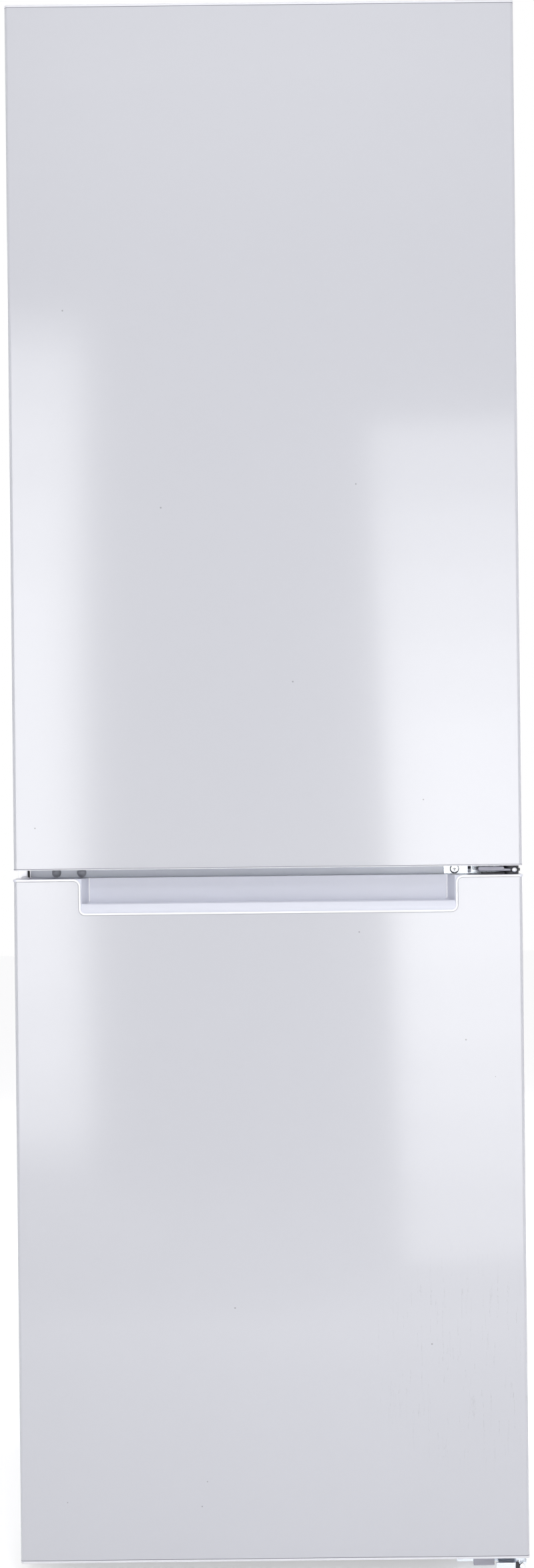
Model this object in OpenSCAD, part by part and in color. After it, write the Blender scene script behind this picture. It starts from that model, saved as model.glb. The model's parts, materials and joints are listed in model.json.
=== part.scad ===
// Free-standing fridge freezer: fridge above, three-drawer freezer below, hinged on the right.
// Origin on the floor under the middle of the cabinet. +Z is up and the doors face -Y.

/* [Overall] */
// Width of the cabinet
body_w = 595; // [580:1:610]
// Height from the floor to the top of the hinge cover
total_h = 1850; // [1800:5:1900]
// Depth from the front of the doors to the back of the wall spacers
total_d = 630; // [620:2:650]

/* [Doors] */
// Gap from the side of the cabinet to the edge of the doors
door_side_gap = 1; // [0.5:0.5:6]
// Thickness of a door, its inner lining included
door_t = 48; // [44:1:54]
// Height of the freezer door's steel skin
freezer_skin_h = 791; // [760:1:820]
// Free height under the freezer door
door_floor_gap = 26; // [25:0.5:32]
// Gap between the two doors
door_gap = 10.5; // [10:0.5:14]
// Free height between the fridge door and the top hinge plate
door_top_gap = 1; // [0.8:0.1:1.5]
// Thickness of the door skin
skin_t = 0.8; // [0.6:0.1:1.2]
// Radius of the skin's vertical edges
skin_r = 4; // [2:0.5:6]
// Height of the plastic lip under the freezer skin
freezer_lip = 3; // [2:0.5:5]
// Height of the plastic lip under the fridge skin
fridge_lip = 1.4; // [1:0.2:3]
// Height of the plastic lip above the fridge skin
top_lip = 3.1; // [2:0.1:5]
// How deep the plastic end caps plug into the skin
cap_plug = 24; // [20:1:30]

/* [Handle scoop] */
// Width of the scoop's cut-out in the freezer skin
scoop_w = 442; // [380:2:470]
// Height of the cut-out below the top of the skin
scoop_h = 40; // [34:1:48]
// Depth of the scoop behind the door's front
scoop_d = 28; // [22:1:32]
// Height of the sloped lip under the scoop's back wall
scoop_lip = 11; // [6:1:16]
// How much each side wall of the scoop slopes inwards
scoop_draft = 7.5; // [3:0.5:12]
// Radius of the cut-out's lower corners
scoop_r = 7.5; // [6:0.5:10]
// Radius of the cut-out's upper corners
mouth_r = 6; // [4:0.5:9]
// Width of the bead round the scoop and along the top of the skin
bead_w = 2.5; // [2:0.1:3.5]
// How far the bead stands proud of the skin
bead_proud = 0.8; // [0.4:0.1:1.2]
// Wall thickness of the scoop
scoop_wall = 2.5; // [2:0.1:3.5]
// Length of the finger groove under the fridge door
grip_w = 420; // [300:10:440]
// Depth of the finger groove from front to back
grip_d = 22; // [18:1:24]
// Height of the finger groove
grip_h = 18; // [14:1:20]

/* [Door seals] */
// Distance from the door's side to the seal
seal_inset = 12; // [12:0.5:14]
// Width of the seal
seal_w = 18; // [15:1:20]
// Thickness of the seal when the door is shut
seal_t = 11.7; // [10:0.1:13]

/* [Hinges] */
// Distance from the door's side to the hinge pin
pin_edge = 11; // [10.5:0.5:12]
// Distance from the door's front to the hinge pin
pin_depth = 22; // [20:1:26]
// Diameter of the hinge pins
pin_d = 8; // [6:0.5:9]
// Outer diameter of the plastic bushes
bush_d = 14; // [12:0.5:16]
// How deep a pin and its bush reach into a door
pin_reach = 20; // [16:1:22]
// Thickness of the hinge plates
hinge_t = 3; // [2.5:0.5:4]
// Height of the hinge cover above the cabinet
hinge_cover_h = 7.5; // [7:0.5:12]
// Wall thickness of the hinge cover
hinge_cover_t = 1.4; // [1:0.1:1.8]
// Length of the top hinge plate behind the pin
top_hinge_l = 88; // [75:1:110]
// Width of the top hinge plate
top_hinge_w = 62; // [50:1:80]
// Distance of the middle hinge's screw and the plugs from the cabinet's centre
plug_x = 222; // [205:1:232]
// Distance between the two plugs
plug_pitch = 30; // [24:1:34]
// Radius of the screw heads and the domed plugs
screw_head_r = 5.6; // [5:0.1:6.5]
// Radius of the screw shanks
screw_r = 2.4; // [2:0.1:3]

/* [Cabinet] */
// Thickness of the cabinet's steel sheet
sheet_t = 1; // [0.6:0.1:1.5]
// Width of the side panels' folded front edge
flange_w = 34; // [33:1:36]
// Height of the folded front edge of the top panel
top_flange_h = 38; // [36:1:42]
// Height of the bottom front rail
bottom_rail_h = 34; // [32:1:38]
// Thickness of the plastic linings
liner_t = 2; // [1.2:0.2:2.4]
// Insulation thickness beside the fridge space, linings and sheet included
fridge_wall = 55.5; // [50:0.5:60]
// Insulation thickness beside the freezer space, linings and sheet included
freezer_wall = 65.5; // [60:0.5:70]
// Insulation thickness behind both spaces
rear_wall = 70; // [60:1:80]
// Thickness of the insulated top
roof_t = 47.5; // [44:0.5:55]
// Thickness of the insulated floor of the freezer space
freezer_floor_t = 69; // [62:1:80]
// Height of the insulated wall between freezer and fridge space
mullion_t = 87; // [84:1:95]
// Height of the steel crossbar between the doors
crossbar_h = 78; // [76:1:80]

/* [Fridge space] */
// Number of glass shelves above the crisper
shelf_count = 3; // [2:1:4]
// Height left between the top shelf and the control housing
shelf_headroom = 128.75; // [110:0.25:170]
// Thickness of the glass
glass_t = 4; // [3:0.5:5]
// Gap behind the shelves, down which the cold air falls
shelf_back_gap = 28; // [20:1:60]
// Distance from the cabinet's front edge to the shelves
shelf_setback = 127; // [125:1:150]
// How far the shelf ribs stand out of the side walls
rib_out = 8; // [6:1:10]
// Thickness of the shelf ribs
rib_t = 6; // [4:1:8]
// Height of the crisper drawer
crisper_h = 188; // [150:2:200]
// Wall thickness of the drawers
tub_t = 2.5; // [2:0.1:3.5]
// Width of the control housing under the ceiling
control_w = 260; // [220:5:300]
// Depth of the control housing
control_d = 195; // [170:5:220]
// Height of the control housing
control_h = 50; // [46:1:60]
// Radius of the thermostat knob
knob_r = 17; // [14:1:19]
// Travel of the light switch plunger
plunger_travel = 5.2; // [3:0.1:6]

/* [Door bins] */
// Number of small bins above the bottle bin
bin_count = 3; // [2:1:3]
// Height of the lowest bin's floor over the floor of the fridge space
bin_rise = 330; // [300:5:360]
// Height left over the floor of the top bin
bin_headroom = 151.75; // [130:0.25:200]
// Height of a small bin
bin_h = 72; // [50:1:90]
// Height of the bottle bin
bottle_bin_h = 112; // [90:1:130]
// Distance from the cabinet's side to the upright ribs that hold the bins
dike_inset = 92.5; // [90:0.5:100]
// Width of the upright ribs
dike_w = 15; // [12:1:18]
// How far the upright ribs stand behind the door's inner face
dike_out = 32; // [28:1:34]
// Depth of the bins from front to back
bin_d = 104; // [80:1:105]

/* [Freezer space] */
// Height of the bottom freezer drawer
low_drawer_h = 190; // [170:1:195]
// Height of the middle and the top freezer drawers
drawer_h = 190; // [170:1:195]
// Height between two freezer drawers
drawer_pitch = 230; // [225:1:232]
// Distance from the cabinet's front edge to the drawers' fronts
drawer_setback = 57; // [56:1:65]
// Radius of the evaporator tubes
evap_r = 4; // [3:0.5:4.5]
// Distance between the evaporator's tube runs
evap_pitch = 62; // [56:2:64]

/* [Machine bay] */
// Height of the bay's ceiling above the floor
bay_top = 262; // [255:1:270]
// Depth of the bay from the back of the cabinet
bay_d = 180; // [175:1:190]
// Insulation thickness between the bay and the freezer space
bay_wall = 35; // [30:1:40]
// Radius of the compressor
comp_r = 72; // [60:1:76]
// Height of the compressor
comp_h = 152; // [130:1:156]
// Height of the compressor plate above the floor
comp_plate_z = 44; // [43:1:48]
// Width of the drip tray on the compressor
tray_w = 220; // [180:5:240]

/* [Condenser] */
// Space behind the cabinet for the condenser and the wall spacers
rear_gap = 30; // [28:1:36]
// Radius of the condenser tube
cond_r = 2.4; // [2:0.1:3]
// Distance between the condenser's tube runs
cond_pitch = 56; // [48:1:60]
// Number of tube runs
cond_runs = 25; // [15:2:25]
// Half the length of a tube run
cond_half = 200; // [180:1:205]
// Radius of the condenser's wires
wire_r = 0.8; // [0.6:0.1:1]
// Number of wires on each side of the tube
wire_count = 30; // [20:1:34]

/* [Feet and rollers] */
// Radius of a levelling foot's pad
foot_r = 18; // [14:1:22]
// Height of the pad
foot_h = 8; // [6:1:10]
// Radius of the foot's threaded stem
stem_r = 5; // [4:0.5:6]
// Radius of a roller
roller_r = 20; // [17:1:21]
// Width of a roller
roller_w = 16; // [12:1:20]
// Radius of a roller's axle
axle_r = 4; // [3:0.5:5]
// Distance from the cabinet's side to the middle of a foot or roller
foot_edge = 47; // [42:1:55]

/* [Hidden] */
$fn = 40;
eps = 0.01;
run_gap = 0.05;       // radial clearance of a pin in its bush
rest_gap = 0.3;       // gap under a moving piece that rests on another
soft_gap = 0.3;       // gap between a door seal and the cabinet
weld_gap = 0.1;       // gap between the condenser's tube and its wires

front_y = -total_d / 2;
back_y = total_d / 2;
body_x = body_w / 2;
door_x = body_x - door_side_gap;
skin_y = front_y + bead_proud;
door_back_y = front_y + door_t;
cab_front_y = door_back_y + seal_t + soft_gap;
cab_back_y = back_y - rear_gap;

cab_z0 = door_floor_gap;
cab_z1 = total_h - hinge_cover_h;
frz_door = [door_floor_gap, door_floor_gap + freezer_lip + freezer_skin_h + bead_w];
frz_skin = [frz_door[0] + freezer_lip, frz_door[1] - bead_w];
frg_door = [frz_door[1] + door_gap, cab_z1 - door_top_gap];
frg_skin = [frg_door[0] + fridge_lip, frg_door[1] - top_lip];
gap_z = (frz_door[1] + frg_door[0]) / 2;

pin_x = door_x - pin_edge;
pin_y = front_y + pin_depth;
pin_r = pin_d / 2;
bush_r = bush_d / 2;

frz_half = body_x - freezer_wall;
frg_half = body_x - fridge_wall;
frame_half = body_x - flange_w;
cavity_back = cab_back_y - rear_wall;
crossbar = [gap_z - crossbar_h / 2, gap_z + crossbar_h / 2];
tongue = [gap_z - 15.5, gap_z + 15.5];
frz_z = [cab_z0 + freezer_floor_t, gap_z - mullion_t / 2];
frg_z = [gap_z + mullion_t / 2, cab_z1 - roof_t];

bay_y = cab_back_y - bay_d;
step_y = bay_y - bay_wall;
step_z = bay_top + bay_wall - 7;

pan_gap = 12;
pan_out = 17;
pan_y = door_back_y + pan_out;
dike_x = body_x - dike_inset;
bin_half = dike_x - dike_w - rest_gap;
lug_out = 5;
lug_h = 6;

crisper_top = frg_z[0] + 3 + crisper_h;
cover_z = crisper_top + 8;
control_y = [cab_front_y + 40, cab_front_y + 40 + control_d];
control_z = frg_z[1] - control_h;
shelf_y = [cab_front_y + shelf_setback, cavity_back - shelf_back_gap];
shelf_pitch = (control_z - shelf_headroom - cover_z) / shelf_count;
shelf_z = [for (i = [1 : shelf_count]) cover_z + i * shelf_pitch];
knob_at = [60 - control_w / 2, control_z + 24];
plunger_at = [control_w / 2 - 25, control_z + 24];
lamp_y = [control_y[0] + 60, control_y[0] + 150];
lamp_half = control_w / 2 - 70;
lamp_at = [lamp_y[0] + 45, control_z + 22];
lamp_r = 13;
cold_half = frg_half - 62;
cold_z = [cover_z + 80, control_z - 115];
plunger_r = 4;
nose_y = pan_y + 12;

bin_pitch = (frg_z[1] - pan_gap - bin_headroom - frg_z[0] - bin_rise) / max(bin_count - 1, 1);
bin_floor = [for (i = [0 : bin_count - 1]) frg_z[0] + bin_rise + i * bin_pitch];
bottle_floor = frg_z[0] + 12;

drawer_y0 = cab_front_y + drawer_setback;
low_drawer_z = frz_z[0] + 4;
drawer_z = [for (i = [0 : 1]) step_z + 34 + i * drawer_pitch];
drawer_half = frz_half - 14;
ledge_out = 11;
evap_z = [for (i = [0 : 2]) step_z + 15 + i * drawer_pitch];

cond_y = cab_back_y + 18;
cond_z0 = bay_top + 75;
comp_at = [-40, bay_y + 88];
comp_z = comp_plate_z + sheet_t + 14;
tray_z = comp_z + comp_h + rest_gap;
foot_x = body_x - foot_edge;
foot_y = cab_front_y + 34;
roller_y = cab_back_y - 38;

drain_r = 8;
drain_y = (cavity_back + liner_t + cab_back_y) / 2;
drain_z = frg_z[0] + 22;
drier_at = [comp_at[0] + comp_r + 93, cab_back_y - 40];
drier_z = [comp_plate_z + sheet_t + 50, comp_plate_z + sheet_t + 145];
bolt_x = comp_r - 2;
bolt_y = comp_r - 22;
drawer_rim = [low_drawer_z + low_drawer_h - 8, drawer_z[0] + drawer_h - 8, drawer_z[1] + drawer_h - 8];
arm_z = about(gap_z, hinge_t);
bottom_plate = [door_floor_gap - 12, door_floor_gap - 12 + hinge_t];
collar_z = [bottom_plate[1], bottom_plate[1] + 6];
bottom_screw_x = [frame_half - 46, frame_half - 10];
bottom_screw_z = cab_z0 + 6;
top_screw_at = [for (p = [[-8, 50], [-44, 50], [-26, 76]]) [pin_x + p[0], pin_y + p[1]]];

// Ranges and outlines

function both(h) = [-h, h];
function about(c, w) = [c - w / 2, c + w / 2];
function grown(r, g) = [r[0] - g, r[1] + g];
function arc(c, r, a0, a1, n = 6) =
    [for (i = [0 : n]) c + r * [cos(a0 + (a1 - a0) * i / n), sin(a0 + (a1 - a0) * i / n)]];
function mirrored(pts) = [for (i = [len(pts) - 1 : -1 : 0]) [-pts[i][0], pts[i][1]]];

// Plan of a door: two rounded front corners, square at the back, drawn in by g
function door_plan(g, back) = let (
    r = max(skin_r - g, 0.5),
    right = concat(arc([door_x - g - r, skin_y + g + r], r, -90, 0), [[door_x - g, back]])
) concat(right, mirrored(right));

// Front outline of the cut-out in the freezer skin, drawn in by g, open above the skin
function mouth_outline(g) = let (
    h = scoop_w / 2 - g,
    low = frz_skin[1] - scoop_h + g,
    rl = scoop_r - g,
    ru = mouth_r + g,
    right = concat(
        arc([h - rl, low + rl], rl, -90, 0),
        arc([h + ru, frz_skin[1] - mouth_r], ru, 180, 90),
        [[h + ru, frz_door[1] + 5]]
    )
) concat(right, mirrored(right));

// Front outline of the scoop itself, half width h, floor at low, corner radius r
function scoop_outline(h, low, r) = let (
    right = concat(arc([h - r, low + r], r, -90, 0), [[h, frz_door[1] + 5]])
) concat(right, mirrored(right));

// Solids between ranges

module block(x, y, z)
    translate([x[0], y[0], z[0]]) cube([x[1] - x[0], y[1] - y[0], z[1] - z[0]]);

module rod_x(at, r, x)
    translate([x[0], at[0], at[1]]) rotate([0, 90, 0]) cylinder(h = x[1] - x[0], r = r);

module rod_y(at, r, y)
    translate([at[0], y[1], at[1]]) rotate([90, 0, 0]) cylinder(h = y[1] - y[0], r = r);

module rod_z(at, r, z)
    translate([at[0], at[1], z[0]]) cylinder(h = z[1] - z[0], r = r);

// A drawn outline in x and z, extruded over a range of y
// An outline of (y, z) points drawn out along x
module slab_x(outline, x)
    translate([x[0], 0, 0]) rotate([90, 0, 90]) linear_extrude(height = x[1] - x[0]) polygon(outline);

module slab_y(pts, y)
    translate([0, y[1], 0]) rotate([90, 0, 0]) linear_extrude(y[1] - y[0]) polygon(pts);

module slab_z(pts, z)
    translate([0, 0, z[0]]) linear_extrude(z[1] - z[0]) polygon(pts);

module link(a, b, r) {
    d = b - a;
    translate(a) rotate([0, acos(d[2] / norm(d)), atan2(d[1], d[0])]) cylinder(h = norm(d), r = r);
}

// A pipe along points, with a slightly thicker brazed elbow at each bend
module pipe(pts, r) {
    for (i = [0 : len(pts) - 2]) link(pts[i], pts[i + 1], r);
    for (i = [1 : len(pts) - 2]) translate(pts[i]) sphere(r * 1.2);
}

// A tube that runs to and fro along x, stepping along y, with a half ring at each turn
module serpentine(half, pitch, runs, r) {
    for (i = [0 : runs - 1]) rod_x([i * pitch, 0], r, both(half));
    for (i = [0 : runs - 2]) {
        side = i % 2 == 0 ? 1 : -1;
        translate([side * half, (i + 0.5) * pitch, 0]) rotate([0, 0, -90 * side])
            rotate_extrude(angle = 180) translate([pitch / 2, 0]) circle(r);
    }
}

// An open tub: outer ranges x, y, z, walls of thickness t
module tub(x, y, z, t) difference() {
    block(x, y, z);
    block(grown(x, -t), grown(y, -t), [z[0] + t, z[1] + 1]);
}

// Cabinet

module side_panel(s) color("white") mirror([s < 0 ? 1 : 0, 0, 0]) {
    difference() {
        union() {
            block([body_x - sheet_t, body_x], [cab_front_y, cab_back_y], [cab_z0, cab_z1 - sheet_t]);
            block([frame_half, body_x], [cab_front_y, cab_front_y + sheet_t], [cab_z0, cab_z1 - sheet_t]);
        }
        block([frame_half - 1, body_x - sheet_t], [cab_front_y - 1, cab_front_y + sheet_t + 1], tongue);
    }
}

module side_panel_left() side_panel(-1);

module side_panel_right() side_panel(1);

module top_panel() color("white") {
    block(both(body_x), [cab_front_y, cab_back_y], [cab_z1 - sheet_t, cab_z1]);
    block(both(frame_half), [cab_front_y, cab_front_y + sheet_t], [cab_z1 - top_flange_h, cab_z1 - sheet_t]);
}

module rear_panel() color("gainsboro")
    block(both(body_x - sheet_t), [cab_back_y - sheet_t, cab_back_y], [bay_top, cab_z1 - sheet_t]);

// The folded sheet under the cabinet: floor, front wall and ceiling of the machine bay, nuts for the feet
module base_pan() color("silver") difference() {
    inner = both(body_x - sheet_t);
    union() {
        block(inner, [cab_front_y + sheet_t, bay_y], [cab_z0, cab_z0 + sheet_t]);
        block(inner, [bay_y - sheet_t, bay_y], [cab_z0, bay_top]);
        block(inner, [bay_y - sheet_t, cab_back_y - sheet_t], [bay_top - sheet_t, bay_top]);
        for (s = [-1, 1]) rod_z([s * foot_x, foot_y], stem_r + 5, [cab_z0, cab_z0 + 12]);
    }
    for (s = [-1, 1]) rod_z([s * foot_x, foot_y], stem_r + run_gap, [cab_z0 - 1, cab_z0 + 13]);
    rod_z([0, drain_y], drain_r + 2, [bay_top - 5, bay_top + 5]);
}

module mid_crossbar() color("darkgray") difference() {
    union() {
        block(both(frame_half), [cab_front_y, cab_front_y + sheet_t], crossbar);
        block(both(body_x - flange_w / 2 + 4), [cab_front_y, cab_front_y + sheet_t], tongue);
    }
    for (x = [-plug_x, -plug_x - plug_pitch, plug_x])
        rod_y([x, gap_z], screw_r, [cab_front_y - 1, cab_front_y + sheet_t + 1]);
}

module bottom_rail() color("silver") difference() {
    block(both(frame_half), [cab_front_y, cab_front_y + sheet_t], [cab_z0, cab_z0 + bottom_rail_h]);
    for (x = bottom_screw_x)
        rod_y([x, bottom_screw_z], screw_r, [cab_front_y - 1, cab_front_y + sheet_t + 1]);
}

// The inside of the fridge space, grown by g on every side but the front
module fridge_space(g)
    block(both(frg_half + g), [cab_front_y - 1, cavity_back + g], grown(frg_z, g));

// The inside of the freezer space: a box less the step over the machine bay
module freezer_space(g) difference() {
    block(both(frz_half + g), [cab_front_y - 1, cavity_back + g], grown(frz_z, g));
    block(both(body_w), [step_y + g, cavity_back + 50], [0, step_z - g]);
}

// Spout through the back of the lining and a wider pipe down to the drip tray, drawn in by g
module drain_line(g) {
    rod_y([0, drain_z], drain_r - g, [cavity_back - g, drain_y]);
    rod_z([0, drain_y], drain_r + 2 - g, [tray_z + 12 - g, drain_z + drain_r + 4 - g]);
}

module shelf_rib(z) for (s = [-1, 1]) {
    inner = frg_half - rib_out;
    block(s > 0 ? [inner, frg_half + 1] : [-frg_half - 1, -inner], [shelf_y[0] + 20, cavity_back],
        [z - rib_t, z]);
}

module fridge_liner() color("whitesmoke") difference() {
    union() {
        difference() {
            fridge_space(liner_t);
            fridge_space(0);
            block(both(body_w), [cab_front_y - 2, cab_front_y], [0, total_h]);
        }
        difference() {
            block(both(frame_half), [cab_front_y, cab_front_y + sheet_t], [crossbar[1],
                cab_z1 - top_flange_h]);
            fridge_space(0);
        }
        for (z = concat([cover_z], shelf_z)) shelf_rib(z);
        // gutter that leads the thaw water to the drain
        block(both(180), [cavity_back - 10, cavity_back + 1], [drain_z - 16, drain_z - 12]);
    }
    drain_line(0);
}

module freezer_liner() color("whitesmoke") {
    difference() {
        freezer_space(liner_t);
        freezer_space(0);
        block(both(body_w), [cab_front_y - 2, cab_front_y], [0, total_h]);
    }
    difference() {
        block(both(frame_half), [cab_front_y, cab_front_y + sheet_t], [cab_z0 + bottom_rail_h, crossbar[0]]);
        freezer_space(0);
    }
    for (s = [-1, 1], i = [0 : 2]) {
        y1 = i == 0 ? step_y : cavity_back;
        rim = drawer_rim[i];
        x = s > 0 ? [frz_half - ledge_out, frz_half + 1] : [-frz_half - 1, -frz_half + ledge_out];
        block(x, [drawer_y0 + 12, y1], [rim - 6, rim]);
        block(x, [drawer_y0 + 12, cavity_back], [evap_z[i] - evap_r - 4, evap_z[i] - evap_r]);
    }
}

module cabinet_foam() color("khaki") difference() {
    block(both(body_x - sheet_t), [cab_front_y + sheet_t, cab_back_y - sheet_t],
        [cab_z0 + sheet_t, cab_z1 - sheet_t]);
    fridge_space(liner_t);
    freezer_space(liner_t);
    block(both(body_w), [bay_y - sheet_t, cab_back_y], [0, bay_top]);
    block(both(cold_half + 6), [cavity_back, cavity_back + liner_t + 10], grown(cold_z, 6));
    drain_line(0);
    for (s = [-1, 1]) rod_z([s * foot_x, foot_y], stem_r + 5, [0, cab_z0 + 40]);
}

// Two domed plugs over the unused hinge holes and the cap on the crossbar's left end
module crossbar_plugs() color("gainsboro") {
    for (x = [-plug_x, -plug_x - plug_pitch]) {
        rod_y([x, gap_z], screw_r - run_gap, [cab_front_y - eps, cab_front_y + sheet_t]);
        translate([x, cab_front_y, gap_z]) rotate([90, 0, 0])
            rotate_extrude() polygon([[0, 0], [screw_head_r, 0], [screw_head_r * 0.85, 1.3],
                [screw_head_r * 0.5, 2.3], [0, 2.7]]);
    }
    block([-body_x + sheet_t, -body_x + flange_w / 2 - 5], [cab_front_y - 1.5, cab_front_y + sheet_t],
        grown(tongue, -rest_gap));
}

// Cooling circuit

module condenser_tube(g)
    translate([0, cond_y, cond_z0]) rotate([90, 0, 0]) serpentine(cond_half, cond_pitch, cond_runs,
        cond_r + g);

module condenser() color("dimgray") {
    z = [cond_z0 - 14, cond_z0 + (cond_runs - 1) * cond_pitch + 14];
    condenser_tube(0);
    for (s = [-1, 1], i = [0 : wire_count - 1])
        rod_z([(i / (wire_count - 1) * 2 - 1) * (cond_half - 6) + s * 1.5,
            cond_y + s * (cond_r + wire_r + weld_gap)], wire_r, z);
}

// Plastic spacers that hold the condenser's bends and keep the cabinet off the wall
module wall_spacers() color("dimgray") difference() {
    reach = cond_half + cond_pitch / 2 + cond_r;
    union() for (s = [-1, 1], k = [1, cond_runs - 4]) {
        i = s > 0 ? k - k % 2 : k - k % 2 + 1;
        z = about(cond_z0 + (i + 0.5) * cond_pitch, 26);
        block(s > 0 ? [reach - 5, reach + 22] : [-reach - 22, -reach + 5], [cab_back_y, back_y], z);
    }
    condenser_tube(0.15);
}

module compressor() color("#26282b") {
    dome = concat([[0, 0], [comp_r * 0.55, 0]], arc([comp_r - 30, 30], 30, -70, 0),
        arc([comp_r - 34, comp_h - 34], 34, 0, 70), [[comp_r * 0.35, comp_h], [0, comp_h]]);
    room = concat([[0, 4], [comp_r * 0.5, 4]], arc([comp_r - 34, 34], 30, -60, 0),
        arc([comp_r - 38, comp_h - 38], 34, 0, 70), [[comp_r * 0.3, comp_h - 4], [0, comp_h - 4]]);
    translate([comp_at[0], comp_at[1], comp_z]) {
        difference() {
            union() {
                rotate_extrude() polygon(dome);
                // mounting feet
                for (s = [-1, 1]) block(about(s * bolt_x, 40), both(bolt_y + 12), [-2, 1]);
                block(both(bolt_x + 20), both(30), [-2, 2]);
                // seam where the two halves are welded
                rod_z([0, 0], comp_r + 3, [comp_h * 0.52, comp_h * 0.52 + 4]);
                // terminal fence that the relay cover snaps over
                block([comp_r - 20, comp_r + 9], both(28), [44, 116]);
                // suction, discharge and filling stubs
                for (a = [150, 200, 75]) rotate([0, 0, a]) rod_x([0, 60], 5, [comp_r - 5, comp_r + 16]);
            }
            rotate_extrude() polygon(room);
            for (x = [-bolt_x, bolt_x], y = [-bolt_y, bolt_y]) rod_z([x, y], 6, [-3, 3]);
        }
        // motor and pump on their spring seats
        rod_z([0, 0], 40, [14, 112]);
        for (a = [45 : 90 : 315]) rotate([0, 0, a]) rod_z([26, 0], 5, [4, 14]);
    }
}

module compressor_grommets() color("#1a1a1a") {
    for (x = [-bolt_x, bolt_x], y = [-bolt_y, bolt_y]) translate(concat(comp_at + [x, y], 0)) difference() {
        union() {
            rod_z([0, 0], 11, [comp_plate_z + sheet_t, comp_z - 2]);
            rod_z([0, 0], 5.9, [comp_z - 2, comp_z + 2]);
            rod_z([0, 0], 9, [comp_z + 1, comp_z + 5]);
        }
        rod_z([0, 0], 3.5, [0, comp_z + 10]);
    }
}

// Rear cross member that carries the compressor, with the roller cheeks and their axles
module compressor_plate() color("silver") {
    difference() {
        union() {
            block(both(body_x - sheet_t), [bay_y, cab_back_y - 8], [comp_plate_z, comp_plate_z + sheet_t]);
            block(both(body_x - sheet_t), [bay_y, bay_y + sheet_t], [cab_z0 + sheet_t, comp_plate_z]);
            block(both(foot_x - 40), [cab_back_y - 8 - sheet_t, cab_back_y - 8], [comp_plate_z - 12,
                comp_plate_z]);
        }
        for (x = [-bolt_x, bolt_x], y = [-bolt_y, bolt_y]) rod_z(comp_at + [x, y], 3.2, [0,
            comp_plate_z + 5]);
    }
    for (s = [-1, 1]) {
        for (k = [-1, 1]) {
            at = s * foot_x + k * (roller_w / 2 + 2);
            block(about(at, 2.5), about(roller_y, 26), [roller_r - 9, comp_plate_z]);
        }
        rod_x([roller_y, roller_r], axle_r, about(s * foot_x, roller_w + 9));
    }
}

module relay_cover() color("#2b2d30") {
    x0 = comp_at[0] + comp_r + 3 + rest_gap;
    translate([0, comp_at[1], comp_z]) tub_on_side([x0, x0 + 34], both(30), [42, 118]);
}

// A box with its open side towards the compressor
module tub_on_side(x, y, z) difference() {
    block(x, y, z);
    block([x[0] - 1, x[1] - 2], grown(y, -2), grown(z, -2));
}

module drip_tray() color("#3a3c3f") {
    x = about(comp_at[0] + 30, tray_w);
    y = [bay_y + 20, cab_back_y - 12];
    tub(x, y, [tray_z, tray_z + 26], 2);
}

module refrigerant_pipes() color("peru") {
    cz = comp_z + 60;
    left = comp_at[0] - comp_r - 16;
    // pressure line to the condenser
    pipe([[left - 6, comp_at[1] + 30, cz], [-cond_half, comp_at[1] + 30, cz], [-cond_half, cond_y, cz],
        [-cond_half, cond_y, cond_z0 - cond_r - weld_gap]], 2.4);
    // suction line from the evaporators, inside the back of the bay
    pipe([[left - 6, comp_at[1] - 20, cz], [left - 40, comp_at[1] - 20, cz],
        [left - 40, comp_at[1] - 20, bay_top - sheet_t]], 3.2);
    // capillary from the drier into the foam
    pipe([[drier_at[0], drier_at[1], drier_z[1]], [drier_at[0], drier_at[1], bay_top - sheet_t]], 1.1);
}

module filter_drier() color("peru") {
    translate([drier_at[0], drier_at[1], drier_z[0]]) rotate_extrude() polygon([[0, 0], [3, 0], [9, 9],
        [9, drier_z[1] - drier_z[0] - 9], [3, drier_z[1] - drier_z[0]], [0, drier_z[1] - drier_z[0]]]);
    // pinched clip that stands on the compressor plate
    block(about(drier_at[0], 6), about(drier_at[1], 4), [comp_plate_z + sheet_t, drier_z[0]]);
}

module cold_plate() color("silver") {
    y0 = cavity_back + liner_t;
    block(both(cold_half), [y0, y0 + 1.2], cold_z);
    translate([0, y0 + 1.2 + 3 + weld_gap, cold_z[0] + 30]) rotate([90, 0, 0])
        serpentine(cold_half - 50, (cold_z[1] - cold_z[0] - 60) / 7, 8, 3);
}

// Three levels of tube with wires across, each a shelf above a drawer
module freezer_evaporator() color("gainsboro") {
    half = frz_half - 2 - evap_pitch / 2 - evap_r;
    runs = 5;
    for (z = evap_z) {
        translate([0, drawer_y0 + 60, z]) serpentine(half, evap_pitch, runs, evap_r);
        for (i = [0 : 10]) rod_y([-half + 6 + i * (2 * half - 12) / 10, z + evap_r + 1.5 + weld_gap], 1.5,
            [drawer_y0 + 50, drawer_y0 + 70 + (runs - 1) * evap_pitch]);
    }
}

module drain_tube() color("gray") difference() {
    drain_line(0);
    drain_line(1.5);
    rod_y([0, drain_z], drain_r - 1.5, [cavity_back - 5, drain_y]);
    rod_z([0, drain_y], drain_r + 0.5, [tray_z, tray_z + 20]);
}

// Inlet bush for the mains lead in the rear edge of the compressor plate
module cord_gland() color("#1a1a1a") translate([foot_x - 90, cab_back_y - 26,
    comp_plate_z + sheet_t]) difference() {
    union() {
        block(both(16), both(14), [0, 6]);
        rod_y([0, 16], 11, both(14));
        block(both(11), both(14), [5, 16]);
    }
    rod_y([0, 16], 4, both(15));
}

// Fridge space

module shelf_glass() color("#cfe8e4") for (z = shelf_z)
    block(both(frg_half - 2), grown(shelf_y, -6), [z, z + glass_t]);

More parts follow.
